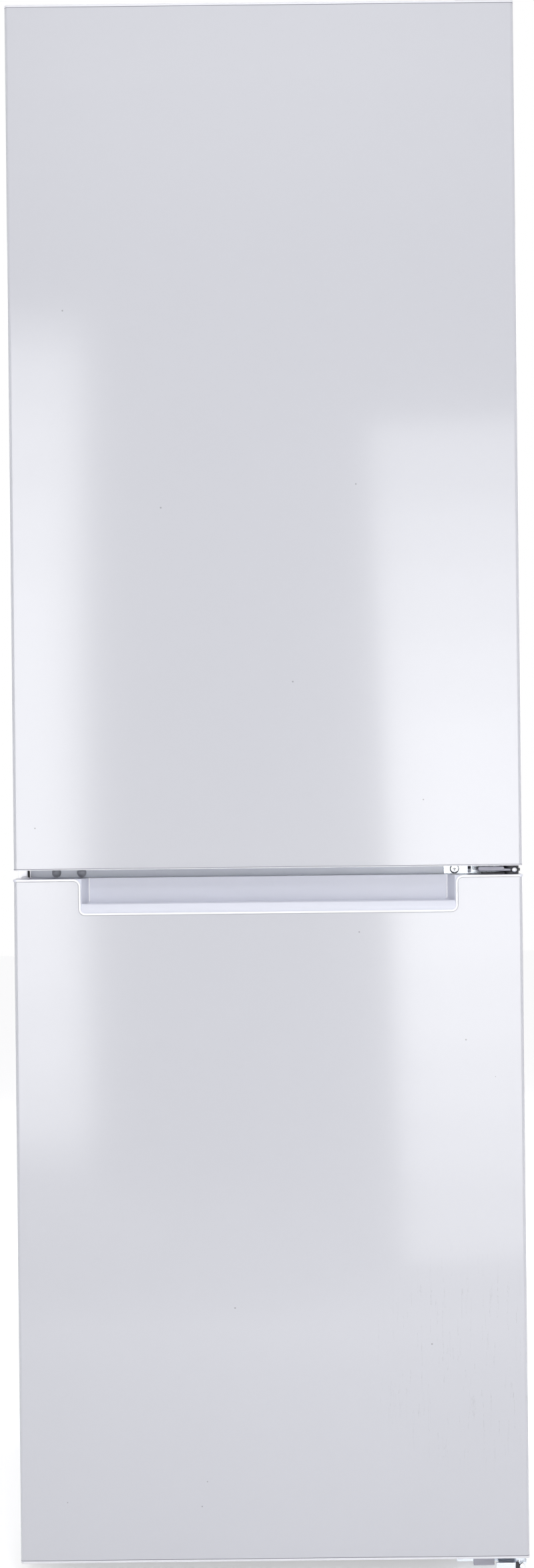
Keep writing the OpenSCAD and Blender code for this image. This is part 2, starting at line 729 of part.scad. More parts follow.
// Front and rear clip strips of every shelf and of the crisper cover
module shelf_trims() color("white") for (z = concat([cover_z], shelf_z)) difference() {
    half = frg_half - 3;
    union() {
        block(both(half), [shelf_y[0], shelf_y[0] + 16], [z - 7, z + glass_t + 4]);
        block(both(half), [shelf_y[1] - 12, shelf_y[1]], [z - 0, z + glass_t + 12]);
    }
    block(both(frg_half), grown(shelf_y, -6), [z, z + glass_t]);
    block(both(half - 6), [shelf_y[0] - 1, shelf_y[0] + 3], [z - 4, z + glass_t + 1]);
}

module crisper_cover() color("#cfe8e4")
    block(both(frg_half - 2), grown(shelf_y, -6), [cover_z, cover_z + glass_t]);

module crisper_drawer() color("#dfe9ef") {
    z0 = frg_z[0] + rest_gap;
    half = frg_half - 17;
    y = [shelf_y[0] - 2, cavity_back - 32];
    difference() {
        tub(both(half), y, [z0, z0 + crisper_h], tub_t);
        // finger scoop in the front wall
        rod_y([0, z0 + crisper_h + 30], 60, [y[0] - 1, y[0] + tub_t + 1]);
    }
}

module control_housing() color("white") {
    difference() {
        union() {
            block(both(control_w / 2), control_y, [control_z, frg_z[1]]);
            block(about(plunger_at[0], 34), [nose_y, control_y[0] + 1], [control_z + 8, frg_z[1]]);
        }
        block(both(control_w / 2 - 2.5), grown(control_y, -2.5), [control_z + 2.5, frg_z[1] + 1]);
        block(about(plunger_at[0], 29), [nose_y + 2.5, control_y[0] + 5], [control_z + 10.5, frg_z[1] + 1]);
        rod_y(knob_at, 3 + run_gap, [control_y[0] - 1, control_y[0] + 4]);
        rod_y(plunger_at, plunger_r + run_gap, [nose_y - 1, nose_y + 4]);
        block(both(lamp_half), lamp_y, [control_z - 1, control_z + 3]);
    }
    // lamp holder
    block([lamp_half + 2, lamp_half + 18], about(lamp_at[0], 26), [control_z + 2, control_z + 36]);
}

// A round bulb that narrows into its socket
module lamp_bulb() color("ivory") translate([0, lamp_at[0], lamp_at[1]]) rotate([0, 90, 0]) rotate_extrude()
    polygon(concat(arc([0, 0], lamp_r, -90, 57, 14), [[lamp_r * 0.54, lamp_half + 2], [0, lamp_half + 2]]));

module lamp_cover() color("#f2f6f7") {
    block(both(lamp_half - rest_gap), grown(lamp_y, -rest_gap), [control_z - 5, control_z + 2.5]);
    block(both(lamp_half + 6), grown(lamp_y, 6), [control_z - 5, control_z]);
}

module thermostat_knob() color("whitesmoke") {
    face = control_y[0] - rest_gap;
    rod_y(knob_at, knob_r, [face - 10, face]);
    rod_y(knob_at, knob_r * 0.55, [face - 15, face - 9]);
    block(about(knob_at[0], 5), [face - 17, face - 9], about(knob_at[1], knob_r * 1.8));
    rod_y(knob_at, 3, [face - 1, face + 16]);
}

module light_switch_plunger() color("white") {
    collar = nose_y + 2.5 + rest_gap + plunger_travel;
    rod_y(plunger_at, plunger_r, [pan_y + rest_gap, collar]);
    rod_y(plunger_at, plunger_r + 3, [collar, collar + 2]);
}

// Doors

// A steel skin: front sheet, wrapped sides and folded rear edges
module door_skin(z) difference() {
    back = door_back_y - liner_t;
    slab_z(door_plan(0, back), z);
    slab_z(door_plan(skin_t, back - skin_t), grown(z, 1));
    block(both(door_x - 14), [back - skin_t - 1, back + 1], grown(z, 1));
}

// A cap's full plan over z, and its plug inside the skin
module door_cap(lip, plug) {
    slab_z(door_plan(0, door_back_y), lip);
    slab_z(door_plan(skin_t, door_back_y - liner_t - skin_t), plug);
}

module fridge_pan(g) {
    z = grown(frg_z, -pan_gap);
    y0 = door_back_y - liner_t - (g > 0 ? 1 : 0);
    block(both(frg_half - pan_gap - g), [y0, pan_y - g], grown(z, -g));
    for (s = [-1, 1]) {
        x = s > 0 ? [dike_x - dike_w, dike_x] : [-dike_x, -dike_x + dike_w];
        block(grown(x, -g), [y0, pan_y + dike_out - g], grown([z[0], control_z - 12], -g));
    }
}

module freezer_pan(g)
    block(both(frz_half - pan_gap - g), [door_back_y - liner_t - (g > 0 ? 1 : 0), pan_y - g],
        grown(grown(frz_z, -pan_gap), -g));

module bin_lugs(z) for (s = [-1, 1]) {
    x0 = dike_x - dike_w;
    block(s > 0 ? [x0 - lug_out, x0 + 1] : [-x0 - 1, -x0 + lug_out], [pan_y - 1, pan_y + dike_out - 4], z);
}

module fridge_door_skin() color("#e2e3e8") door_skin(frg_skin);

module fridge_door_foam() color("khaki") difference() {
    z = [frg_skin[0] + cap_plug, frg_skin[1] - cap_plug];
    union() {
        slab_z(door_plan(skin_t, door_back_y - liner_t - skin_t), z);
        block(both(door_x - 14), [door_back_y - 10, door_back_y - liner_t], z);
        fridge_pan(liner_t);
    }
}

module fridge_door_top_cap() color("white") difference() {
    door_cap([frg_skin[1], frg_door[1]], [frg_skin[1] - cap_plug, frg_skin[1] + eps]);
    rod_z([pin_x, pin_y], bush_r, [frg_door[1] - pin_reach - 1, frg_door[1] + 1]);
}

module fridge_door_bottom_cap() color("white") difference() {
    door_cap([frg_door[0], frg_skin[0]], [frg_skin[0] - eps, frg_skin[0] + cap_plug]);
    rod_z([pin_x, pin_y], bush_r, [frg_door[0] - 1, frg_door[0] + pin_reach + 1]);
    block(both(grip_w / 2), [front_y + 12, front_y + 12 + grip_d], [frg_door[0] - 1, frg_door[0] + grip_h]);
}

// Flat rear lining of a door, from cap to cap
module lining_sheet(z) block(both(door_x), [door_back_y - liner_t, door_back_y], z);

module fridge_door_liner() color("white") {
    difference() {
        union() {
            lining_sheet(frg_skin);
            fridge_pan(0);
        }
        fridge_pan(liner_t);
    }
    for (z = concat(bin_floor + [for (b = bin_floor) bin_h - 14], [bottle_floor + bottle_bin_h - 14]))
        bin_lugs([z - lug_h, z]);
}

module door_seal(z) color("white") difference() {
    y = [door_back_y, door_back_y + seal_t];
    half = door_x - seal_inset;
    block(both(half), y, z);
    block(both(half - seal_w), grown(y, 1), grown(z, -seal_w));
}

module fridge_door_seal() door_seal(grown(frg_door, -seal_inset));

// One bin: a tub with an ear on each end that hangs on the door's lugs
module bin(z0, h, front_h) color("#e4edf2") {
    y = [pan_y + rest_gap, pan_y + rest_gap + bin_d];
    half = bin_half - lug_out - 0.7;
    difference() {
        tub(both(half), y, [z0, z0 + h], tub_t);
        block(both(half + 1), [y[0] - 1, y[0] + bin_d * 0.25], [z0 + front_h, z0 + h + 1]);
    }
    for (s = [-1, 1])
        block(s > 0 ? [half - 1, bin_half] : [-bin_half, -half + 1], [pan_y + 4, pan_y + dike_out - 4],
            [z0 + h - 14, z0 + h - 10]);
}

module door_bins() for (z = bin_floor) bin(z, bin_h, bin_h * 0.9);

module bottle_bin() bin(bottle_floor, bottle_bin_h, bottle_bin_h * 0.9);

// A bush in the door round the pin, with a flange outside the door
module bush(z, flange) color("#202224") difference() {
    union() {
        rod_z([pin_x, pin_y], bush_r - run_gap, z);
        rod_z([pin_x, pin_y], bush_r + 2, flange);
    }
    rod_z([pin_x, pin_y], pin_r + run_gap, grown([min(z[0], flange[0]), max(z[1], flange[1])], 1));
}

module fridge_door_bushes() {
    bush([frg_door[1] - pin_reach, frg_door[1]], [frg_door[1], frg_door[1] + door_top_gap - rest_gap]);
    bush([frg_door[0], frg_door[0] + pin_reach], [arm_z[1] + rest_gap, frg_door[0]]);
}

module freezer_door_skin() color("#e2e3e8") difference() {
    door_skin(frz_skin);
    slab_y(mouth_outline(0), [skin_y - 1, skin_y + skin_r + 1]);
}

// The scoop as a solid: grown by its wall for the shell's outside
module scoop_solid(g) {
    h = scoop_w / 2 - bead_w;
    low = frz_skin[1] - scoop_h + bead_w;
    hull() {
        slab_y(scoop_outline(h + g, low - g, scoop_r - 2 + g), [front_y - 1 + (g > 0 ? 2.6 : 0),
            front_y + 1.7]);
        slab_y(scoop_outline(h - scoop_draft + g, low + scoop_lip - g, 4 + g),
            [front_y + scoop_d + g - 0.1, front_y + scoop_d + g]);
    }
}

module freezer_door_foam() color("khaki") difference() {
    z = [frz_skin[0] + cap_plug, frz_skin[1] - scoop_wall];
    union() {
        slab_z(door_plan(skin_t, door_back_y - liner_t - skin_t), z);
        block(both(door_x - 14), [door_back_y - 10, door_back_y - liner_t], z);
        freezer_pan(liner_t);
    }
    scoop_solid(scoop_wall);
    slab_y(mouth_outline(-1), [front_y - 1, skin_y + 3]);
    rod_z([pin_x, pin_y], bush_r + 3, [frz_door[1] - pin_reach - 4, frz_door[1] + 5]);
}

// The lip that the fingers hook behind: a ridge over the foot of the scoop, let into its walls
module scoop_ridge() intersection() {
    low = frz_skin[1] - scoop_h + bead_w;
    y0 = skin_y + rest_gap;
    rise = scoop_lip / 11;
    scoop_solid(scoop_wall / 2);
    slab_x([[y0, low - 1], [y0, low + 2 * rise], [y0 + 1.4, low + 7 * rise], [y0 + 2.6, low + 10 * rise],
        [y0 + 4, low + 11 * rise], [y0 + 5.6, low + 10 * rise], [y0 + 8, low + 6.5 * rise],
        [y0 + 11, low + 4.2 * rise], [y0 + 11, low + 3 * rise]], both(scoop_w / 2));
}

// Moulded top of the freezer door: lip, bead, scoop and the boss for the bush
module freezer_handle_trim() color("white") {
    difference() {
        union() {
            slab_z(door_plan(-bead_proud * 0.999, door_back_y), [frz_skin[1], frz_door[1]]);
            slab_z(door_plan(skin_t, door_back_y - liner_t - skin_t), [frz_skin[1] - scoop_wall,
                frz_skin[1] + eps]);
            intersection() {
                scoop_solid(scoop_wall);
                block(both(door_x), [front_y, door_back_y], [0, frz_door[1]]);
            }
            difference() {
                slab_y(mouth_outline(rest_gap / 3), [front_y, skin_y + 3]);
                block(both(door_x + 50), [front_y - 5, back_y], [frz_skin[1], total_h]);
            }
            rod_z([pin_x, pin_y], bush_r + 3, [frz_door[1] - pin_reach - 4, frz_skin[1]]);
        }
        scoop_solid(0);
        slab_y(mouth_outline(bead_w), [front_y - 1, front_y + 4]);
        rod_z([pin_x, pin_y], bush_r, [frz_door[1] - pin_reach - 1, frz_door[1] + 1]);
    }
    scoop_ridge();
}

module freezer_door_bottom_cap() color("white") difference() {
    door_cap([frz_door[0], frz_skin[0]], [frz_skin[0] - eps, frz_skin[0] + cap_plug]);
    rod_z([pin_x, pin_y], bush_r, [frz_door[0] - 1, frz_door[0] + pin_reach + 1]);
}

module freezer_door_liner() color("white") difference() {
    union() {
        lining_sheet(frz_skin);
        freezer_pan(0);
    }
    freezer_pan(liner_t);
}

module freezer_door_seal() door_seal(grown(frz_door, -seal_inset));

// Two bushes, the stop beside the upper one and the plug in the spare hole at the other end
module freezer_door_bushes() {
    bush([frz_door[1] - pin_reach, frz_door[1]], [frz_door[1], arm_z[0] - rest_gap]);
    bush([frz_door[0], frz_door[0] + pin_reach], [collar_z[1] + rest_gap, frz_door[0]]);
    color("#202224") block([pin_x - 35, pin_x - bush_r - 1], about(pin_y, 16), [frz_door[1],
        frz_door[1] + 2]);
    color("white") translate([-pin_x, pin_y, frz_door[1]]) rotate_extrude()
        polygon([[0, 0], [6.5, 0], [5.5, 1.6], [3, 2.8], [0, 3.2]]);
}

// Hinges

module top_hinge() color("silver") difference() {
    z = [cab_z1, cab_z1 + hinge_t];
    x1 = pin_x + pin_edge - 1;
    union() {
        block([x1 - top_hinge_w, x1], [cab_front_y + 2, pin_y + top_hinge_l], z);
        block([pin_x - 12, x1], [pin_y, cab_front_y + 3], z);
        rod_z([pin_x, pin_y], pin_edge - 1, z);
        rod_z([pin_x, pin_y], pin_r, [frg_door[1] - pin_reach + 1, z[1]]);
    }
    for (p = top_screw_at) rod_z(p, screw_r + 0.3, grown(z, 1));
}

module top_hinge_cover() color("white") difference() {
    x = [pin_x + pin_edge - 1 - top_hinge_w - 4, body_x - 0.5];
    y = [pin_y - pin_edge, pin_y + top_hinge_l + 5];
    block(x, y, [cab_z1, total_h]);
    block([x[0] + hinge_cover_t, x[1] - 1], [y[0] + 1, y[1] - hinge_cover_t], [cab_z1 - 1,
        total_h - hinge_cover_t]);
}

module mid_hinge() color("silver") {
    plate_x = [plug_x - 13, body_x - flange_w / 2 + 4];
    difference() {
        block(plate_x, [cab_front_y - hinge_t, cab_front_y], grown(tongue, -1));
        rod_y([plug_x, gap_z], screw_r + 0.3, [cab_front_y - 9, cab_front_y + 1]);
        block([plug_x + 16, plug_x + 19.5], [cab_front_y - 9, cab_front_y + 1], about(gap_z, 9));
    }
    block([pin_x - 28, plate_x[1]], [pin_y + 8, cab_front_y - hinge_t + eps], arm_z);
    block([pin_x - 40, pin_x], [pin_y - 9, pin_y + 9], arm_z);
    rod_z([pin_x, pin_y], pin_edge - 1, arm_z);
    rod_z([pin_x, pin_y], pin_r, [frz_door[1] - pin_reach + 1, frg_door[0] + pin_reach - 1]);
}

module bottom_hinge() color("silver") {
    x = [frame_half - 58, body_x - 4];
    difference() {
        union() {
            block(x, [cab_front_y - hinge_t, cab_front_y], [bottom_plate[0], cab_z0 + 11]);
            block([x[0] + 8, x[1]], [pin_y + 4, cab_front_y - hinge_t + eps], bottom_plate);
            block([pin_x - 24, pin_x], [pin_y - 9, pin_y + 5], bottom_plate);
            rod_z([pin_x, pin_y], pin_edge - 1, bottom_plate);
        }
        for (sx = bottom_screw_x) rod_y([sx, bottom_screw_z], screw_r + 0.3, [cab_front_y - 9,
            cab_front_y + 1]);
    }
    rod_z([pin_x, pin_y], pin_r, [bottom_plate[0], frz_door[0] + pin_reach - 1]);
    rod_z([pin_x, pin_y], pin_r + 3, collar_z);
    translate([pin_x, pin_y, bottom_plate[0] - 4]) cylinder(h = 4 + eps, r = 7, $fn = 6);
}

// A pan-head screw along +Z from the seat down, with a crossed recess
module screw(l) difference() {
    union() {
        rotate_extrude() polygon([[0, 0], [screw_head_r - 1, 0], [screw_head_r - 1.4, 1.4], [2, 2.2], [0,
            2.3]]);
        rod_z([0, 0], screw_r, [-l, eps]);
    }
    for (a = [0, 90]) rotate([0, 0, a]) block(both(2.4), both(0.5), [1, 4]);
}

module hinge_screws() color("lightgray") {
    for (p = top_screw_at) translate([p[0], p[1], cab_z1 + hinge_t]) screw(hinge_t);
    translate([plug_x, cab_front_y - hinge_t, gap_z]) rotate([90, 0, 0]) screw(hinge_t + sheet_t);
    for (x = bottom_screw_x)
        translate([x, cab_front_y - hinge_t, bottom_screw_z]) rotate([90, 0, 0]) screw(hinge_t + sheet_t);
}

// Freezer drawers

// A tub with side rims that run on the lining's ledges and a front wall with a hand slot
module freezer_drawer(z0, h, y1) color("#dfe9ef") {
    half = drawer_half - 5;
    rim = z0 + h - 8 + rest_gap;
    difference() {
        union() {
            tub(both(half), [drawer_y0 + 2, y1], [z0, z0 + h - 4], tub_t);
            block(both(drawer_half + 4), [drawer_y0, drawer_y0 + tub_t], [z0 - 2, z0 + h]);
        }
        block(both(65), [drawer_y0 - 1, drawer_y0 + 5], [z0 + h - 46, z0 + h - 22]);
    }
    for (s = [-1, 1])
        block(s > 0 ? [half - 1, drawer_half + 8] : [-drawer_half - 8, -half + 1], [drawer_y0 + 2, y1],
            [rim, rim + 3]);
}

module freezer_drawer_low() freezer_drawer(low_drawer_z, low_drawer_h, step_y - 14);

module freezer_drawer_mid() freezer_drawer(drawer_z[0], drawer_h, cavity_back - 20);

module freezer_drawer_top() freezer_drawer(drawer_z[1], drawer_h, cavity_back - 20);

// Feet and rollers

module foot(s) color("#2b2d30") {
    rod_z([s * foot_x, foot_y], foot_r, [0, foot_h]);
    rod_z([s * foot_x, foot_y], stem_r + 4, [foot_h, foot_h + 6]);
    rod_z([s * foot_x, foot_y], stem_r, [foot_h, cab_z0 + 36]);
}

module foot_left() foot(-1);

module foot_right() foot(1);

module rear_rollers() color("#2b2d30") for (s = [-1, 1]) difference() {
    rod_x([roller_y, roller_r], roller_r, about(s * foot_x, roller_w));
    rod_x([roller_y, roller_r], axle_r + run_gap, about(s * foot_x, roller_w + 2));
}

side_panel_left();
side_panel_right();
top_panel();
rear_panel();
base_pan();
mid_crossbar();
bottom_rail();
fridge_liner();
freezer_liner();
cabinet_foam();
crossbar_plugs();
condenser();
wall_spacers();
compressor();
compressor_grommets();
compressor_plate();
relay_cover();
drip_tray();
refrigerant_pipes();
filter_drier();
cold_plate();
freezer_evaporator();
drain_tube();
cord_gland();
shelf_glass();
shelf_trims();
crisper_cover();
crisper_drawer();
control_housing();
lamp_bulb();
lamp_cover();
thermostat_knob();
light_switch_plunger();
fridge_door_skin();
fridge_door_foam();
fridge_door_top_cap();
fridge_door_bottom_cap();
fridge_door_liner();
fridge_door_seal();
door_bins();
bottle_bin();
fridge_door_bushes();
freezer_door_skin();
freezer_door_foam();
freezer_handle_trim();
freezer_door_bottom_cap();
freezer_door_liner();
freezer_door_seal();
freezer_door_bushes();
top_hinge();
top_hinge_cover();
mid_hinge();
bottom_hinge();
hinge_screws();
freezer_drawer_low();
freezer_drawer_mid();
freezer_drawer_top();
foot_left();
foot_right();
rear_rollers();
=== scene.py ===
import json
import bmesh
import bpy
import numpy as np
from math import cos, pi, radians, sin
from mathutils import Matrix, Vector

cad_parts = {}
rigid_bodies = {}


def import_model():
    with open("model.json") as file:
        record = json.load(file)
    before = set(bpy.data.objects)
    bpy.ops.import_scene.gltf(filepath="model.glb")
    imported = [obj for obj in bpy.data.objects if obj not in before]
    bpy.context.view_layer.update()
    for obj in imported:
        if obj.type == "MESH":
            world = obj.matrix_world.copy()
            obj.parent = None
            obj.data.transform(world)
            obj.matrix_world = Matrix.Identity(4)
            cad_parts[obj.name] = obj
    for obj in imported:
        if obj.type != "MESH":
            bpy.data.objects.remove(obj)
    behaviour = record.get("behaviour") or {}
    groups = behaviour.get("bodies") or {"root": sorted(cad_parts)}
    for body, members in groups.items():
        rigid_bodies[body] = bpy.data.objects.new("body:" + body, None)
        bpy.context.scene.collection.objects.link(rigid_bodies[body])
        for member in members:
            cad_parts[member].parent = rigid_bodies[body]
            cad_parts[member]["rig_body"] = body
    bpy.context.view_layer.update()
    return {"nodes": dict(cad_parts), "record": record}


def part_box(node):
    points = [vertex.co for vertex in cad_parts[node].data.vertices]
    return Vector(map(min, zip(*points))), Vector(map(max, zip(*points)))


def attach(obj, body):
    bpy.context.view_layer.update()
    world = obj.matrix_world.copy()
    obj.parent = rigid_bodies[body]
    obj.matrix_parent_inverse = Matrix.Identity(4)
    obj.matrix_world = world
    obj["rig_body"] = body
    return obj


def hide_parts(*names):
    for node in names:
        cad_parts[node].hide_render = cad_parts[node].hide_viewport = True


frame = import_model()
nodes = frame["nodes"]
body_of_node = {n: o["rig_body"] for n, o in nodes.items()}
slot_of_node = {p["node"]: p["material_slot"] for p in frame["record"]["subparts"]}
MM = 0.001


def add_node(tree, kind, links=(), **settings):
    """Adds a shader node, sets its fields and fills its inputs: a socket is linked, anything else is a value."""
    node = tree.nodes.new("ShaderNode" + kind)
    for field, value in settings.items():
        setattr(node, field, value)
    for where, source in dict(links).items():
        if isinstance(source, bpy.types.NodeSocket):
            tree.links.new(source, node.inputs[where])
        else:
            node.inputs[where].default_value = source
    return node.outputs


def math_node(tree, operation, a, b=0.0):
    return add_node(tree, "Math", {0: a, 1: b}, operation=operation)[0]


# ---- camera, lamps, world and floor: lengths in metres, levels in watts per square metre and steradian ----

CAMERA_Y, CAMERA_Z = -2.815, 0.931
LENS_MM, SENSOR_MM, ROLL = 49.3, 36, radians(0.62)
SIDES = (("left", -1), ("right", 1))
STEP_BACK = 0.01
EVEN_LIGHT, FLOOR_LIFT = 0.34, 0.36
PALE_FLOOR = (0.93, 0.93, 0.935, 1)

# The steps of a lamp, each its share of the width, of the height and of the level.
PLAIN = ((1, 1, 1),)
FADED = ((1, 1, 0.3), (1, 0.92, 0.3), (0.8, 0.78, 0.14), (0.65, 0.58, 0.13), (0.5, 0.38, 0.13))
EDGED = ((1, 1, 0.47), (0.97, 0.8, 0.16), (0.94, 0.65, 0.13), (0.91, 0.48, 0.12), (0.88, 0.3, 0.12))


def make_camera():
    """Straight in front of the doors, 2.5 m from them, rolled a little clockwise as the photograph is."""
    lens = bpy.data.cameras.new("Camera")
    lens.sensor_width = SENSOR_MM
    lens.lens = LENS_MM
    camera = bpy.data.objects.new("Camera", lens)
    camera.location = (0, CAMERA_Y, CAMERA_Z)
    camera.rotation_euler = (radians(90), ROLL, 0)
    bpy.context.scene.collection.objects.link(camera)
    bpy.context.scene.camera = camera


def soft_box(name, centre, facing, width, height, level, steps=PLAIN, lean=0.0, glossy=True):
    """A flat lamp of even radiance that faces a point. Each step is a lamp a little behind the last, so a box of
    several steps is brightest in its middle. One that isn't glossy shows in no reflection."""
    way = (Vector(facing) - Vector(centre)).normalized()
    for k, (across, up, share) in enumerate(steps):
        lamp = bpy.data.lights.new(f"{name}_{k}", "AREA")
        lamp.shape = "RECTANGLE"
        lamp.size, lamp.size_y = width * across, height * up
        lamp.energy = level * share * pi * lamp.size * lamp.size_y
        box = bpy.data.objects.new(lamp.name, lamp)
        box.location = Vector(centre) - way * STEP_BACK * k
        box.rotation_euler = way.to_track_quat("-Z", "Y").to_euler()
        box.rotation_euler.rotate_axis("Z", lean)
        box.visible_glossy = glossy
        bpy.context.scene.collection.objects.link(box)


def make_lamps():
    """Two tall soft boxes beside the camera show in the doors as pale bands, two more light the back, fills
    even out the top, the foot and the sides, and a broad soft light comes from above."""
    soft_box("left_box", (-0.568, -2.82, 1.03), (-0.568, 0, 1.03), 0.304, 2.0, 4.8, FADED)
    soft_box("right_box", (0.407, -1.9, 0.82), (0.407, 0, 0.82), 0.364, 1.6, 4.3, EDGED, lean=0.03)
    for side, s in SIDES:
        soft_box(f"back_{side}_box", (1.9 * s, 2.7, 1.5), (0, 0, 0.9), 1.2, 1.8, 1.35)
    soft_box("high_fill", (0, -1.9, 2.3), (0, -0.3, 1.6), 1.3, 0.5, 6.6, glossy=False)
    soft_box("low_fill", (0, -1.6, 0.15), (0, -0.3, 0.15), 1.3, 0.2, 2.1, glossy=False)
    for side, s in SIDES:
        soft_box(f"{side}_side_fill", (2.9 * s, -0.1, 1.2), (0, -0.1, 0.95), 1.5, 1.8, 1.8, glossy=False)
    above = bpy.data.lights.new("above", "SUN")
    above.energy = 0.85
    above.angle = radians(70)
    sky = bpy.data.objects.new("above", above)
    sky.rotation_euler = (radians(14), radians(10), 0)
    bpy.context.scene.collection.objects.link(sky)


def make_world():
    """The camera, reflections and clear pieces see a white background; the scene is lit by a dimmer even level."""
    world = bpy.data.worlds.new("Studio")
    bpy.context.scene.world = world
    world.use_nodes = True
    tree = world.node_tree
    tree.nodes.clear()
    path = add_node(tree, "LightPath")
    seen = math_node(tree, "MAXIMUM", path["Is Camera Ray"], path["Is Glossy Ray"])
    clear = math_node(tree, "MAXIMUM", seen, path["Is Transmission Ray"])
    even = add_node(tree, "Background", {"Color": (0.98, 0.98, 1.0, 1), "Strength": EVEN_LIGHT})[0]
    white = add_node(tree, "Background", {"Color": (1, 1, 1, 1)})[0]
    add_node(tree, "OutputWorld", {"Surface": add_node(tree, "MixShader", {0: clear, 1: even, 2: white})[0]})


def make_floor():
    """A pale sheet of floor, which the camera and reflections see near white and which keeps the shadow."""
    mesh = bpy.data.meshes.new("floor")
    mesh.from_pydata([(-7, -5, 0), (7, -5, 0), (7, 9, 0), (-7, 9, 0)], [], [(0, 1, 2, 3)])
    floor = bpy.data.objects.new("floor", mesh)
    bpy.context.scene.collection.objects.link(floor)
    pale = Finish("pale_floor", Base_Color=PALE_FLOOR, Roughness=0.85, Emission_Color=(1, 1, 1, 1))
    path = add_node(pale.tree, "LightPath")
    seen = math_node(pale.tree, "MAXIMUM", path["Is Camera Ray"], path["Is Glossy Ray"])
    pale.feed("Emission Strength", math_node(pale.tree, "MULTIPLY", seen, FLOOR_LIFT))
    mesh.materials.append(pale.material)


# ---- effects that several finishes share, each a node group; bump heights in metres ----

PALE, ZINC, DUST = (0.8, 0.8, 0.8, 1), (0.6, 0.6, 0.6, 1), (0.42, 0.40, 0.37, 1)
PEEL_HEIGHT, WAVE_HEIGHT, GRAIN_HEIGHT, LINE_HEIGHT = 0.00002, 0.0009, 0.00004, 0.00003


class Group:
    """A node group under construction: inputs with their usual values, nodes added by type, and outputs."""

    def __init__(self, name, **inputs):
        self.tree = bpy.data.node_groups.new(name, "ShaderNodeTree")
        for label, value in inputs.items():
            kind = {1: "NodeSocketFloat", 3: "NodeSocketVector", 4: "NodeSocketColor"}[np.size(value)]
            self.tree.interface.new_socket(name=label, in_out="INPUT", socket_type=kind).default_value = value
        self.input = self.tree.nodes.new("NodeGroupInput").outputs

    def done(self, **outputs):
        """Gives the outputs and the group."""
        for label in outputs:
            kind = "NodeSocketColor" if label == "Colour" else "NodeSocketFloat"
            self.tree.interface.new_socket(name=label, in_out="OUTPUT", socket_type=kind)
        end = self.tree.nodes.new("NodeGroupOutput")
        for label, source in outputs.items():
            self.tree.links.new(source, end.inputs[label])
        return self.tree

    def add(self, kind, links=(), **settings):
        return add_node(self.tree, kind, links, **settings)

    def math(self, operation, a, b=0.0):
        return math_node(self.tree, operation, a, b)

    def times(self, first, *others):
        for other in others:
            first = self.math("MULTIPLY", first, other)
        return first

    def swing(self, value, *sizes):
        """A value from 0 to 1 taken about its middle, times the sizes."""
        return self.times(self.math("SUBTRACT", value, 0.5), *sizes)

    def scaled(self, colour, level):
        return self.add("VectorMath", {0: colour, "Scale": level}, operation="SCALE")[0]

    def point(self):
        """The point on the object in metres."""
        return self.add("TexCoord")["Object"]

    def noise(self, scale, detail, stretch=(1, 1, 1), **more):
        """Soft noise over the object, stretched along each axis."""
        place = self.add("Mapping", {"Vector": self.point(), "Scale": stretch})[0]
        return self.add("TexNoise", {"Vector": place, "Scale": scale, "Detail": detail, **more})


def painted_sheet():
    """Sprayed paint on pressed steel: a fine peel of small bumps over long shallow waves of the sheet."""
    g = Group("painted_sheet", Peel=0.25, Waves=1.0)
    peel = g.times(g.noise(900, 1.0)[0], g.input["Peel"], PEEL_HEIGHT)
    waves = g.times(g.noise(7, 2.0, (1, 1, 0.6))[0], g.input["Waves"], WAVE_HEIGHT)
    return g.done(Height=g.math("ADD", peel, waves))


def tone_drift():
    """A colour that grows a little lighter and darker in large soft patches."""
    g = Group("tone_drift", Colour=PALE, Amount=0.03, Scale=5.0)
    patches = g.noise(g.input["Scale"], 3.0)[0]
    level = g.math("ADD", g.swing(patches, 2.0, g.input["Amount"]), 1.0)
    return g.done(Colour=g.scaled(g.input["Colour"], level))


def moulded_grain():
    """The fine even grain of a moulded plastic skin, with a slight unevenness of its gloss."""
    g = Group("moulded_grain", Scale=1400.0, Depth=1.0, Rough=0.4)
    height = g.times(g.noise(g.input["Scale"], 2.0)[0], g.input["Depth"], GRAIN_HEIGHT)
    return g.done(Height=height, Roughness=g.math("ADD", g.input["Rough"], g.swing(g.noise(24.0, 3.0)[0], 0.07)))


def small_marks():
    """Sparse specks, and faint scratches that lie within a ball round a point. Both darken the colour."""
    g = Group("small_marks", Colour=PALE, Specks=0.5, Scratches=0.3, Where=(0.0, 0.0, 0.0), Reach=0.2)
    cell = g.add("TexVoronoi", {"Vector": g.point(), "Scale": 26.0, "Randomness": 1.0})
    chosen = g.math("GREATER_THAN", g.add("SeparateColor", {0: cell["Color"]})[0], 0.72)
    speck = g.times(g.math("LESS_THAN", cell["Distance"], 0.026), chosen, g.input["Specks"])
    lines = g.noise(4.0, 5.0, (70, 70, 4.2))[0]
    thin = g.math("LESS_THAN", g.math("ABSOLUTE", g.math("SUBTRACT", lines, 0.62)), 0.004)
    away = g.add("VectorMath", {0: g.point(), 1: g.input["Where"]}, operation="DISTANCE")["Value"]
    close = g.add("MapRange", {"Value": g.math("DIVIDE", away, g.input["Reach"]), "From Min": 0.6,
                               "From Max": 1.0, "To Min": 1.0, "To Max": 0.0})[0]
    marks = g.math("MINIMUM", g.math("ADD", speck, g.times(thin, close, g.input["Scratches"])), 1.0)
    return g.done(Colour=g.scaled(g.input["Colour"], g.math("SUBTRACT", 1.0, marks)))


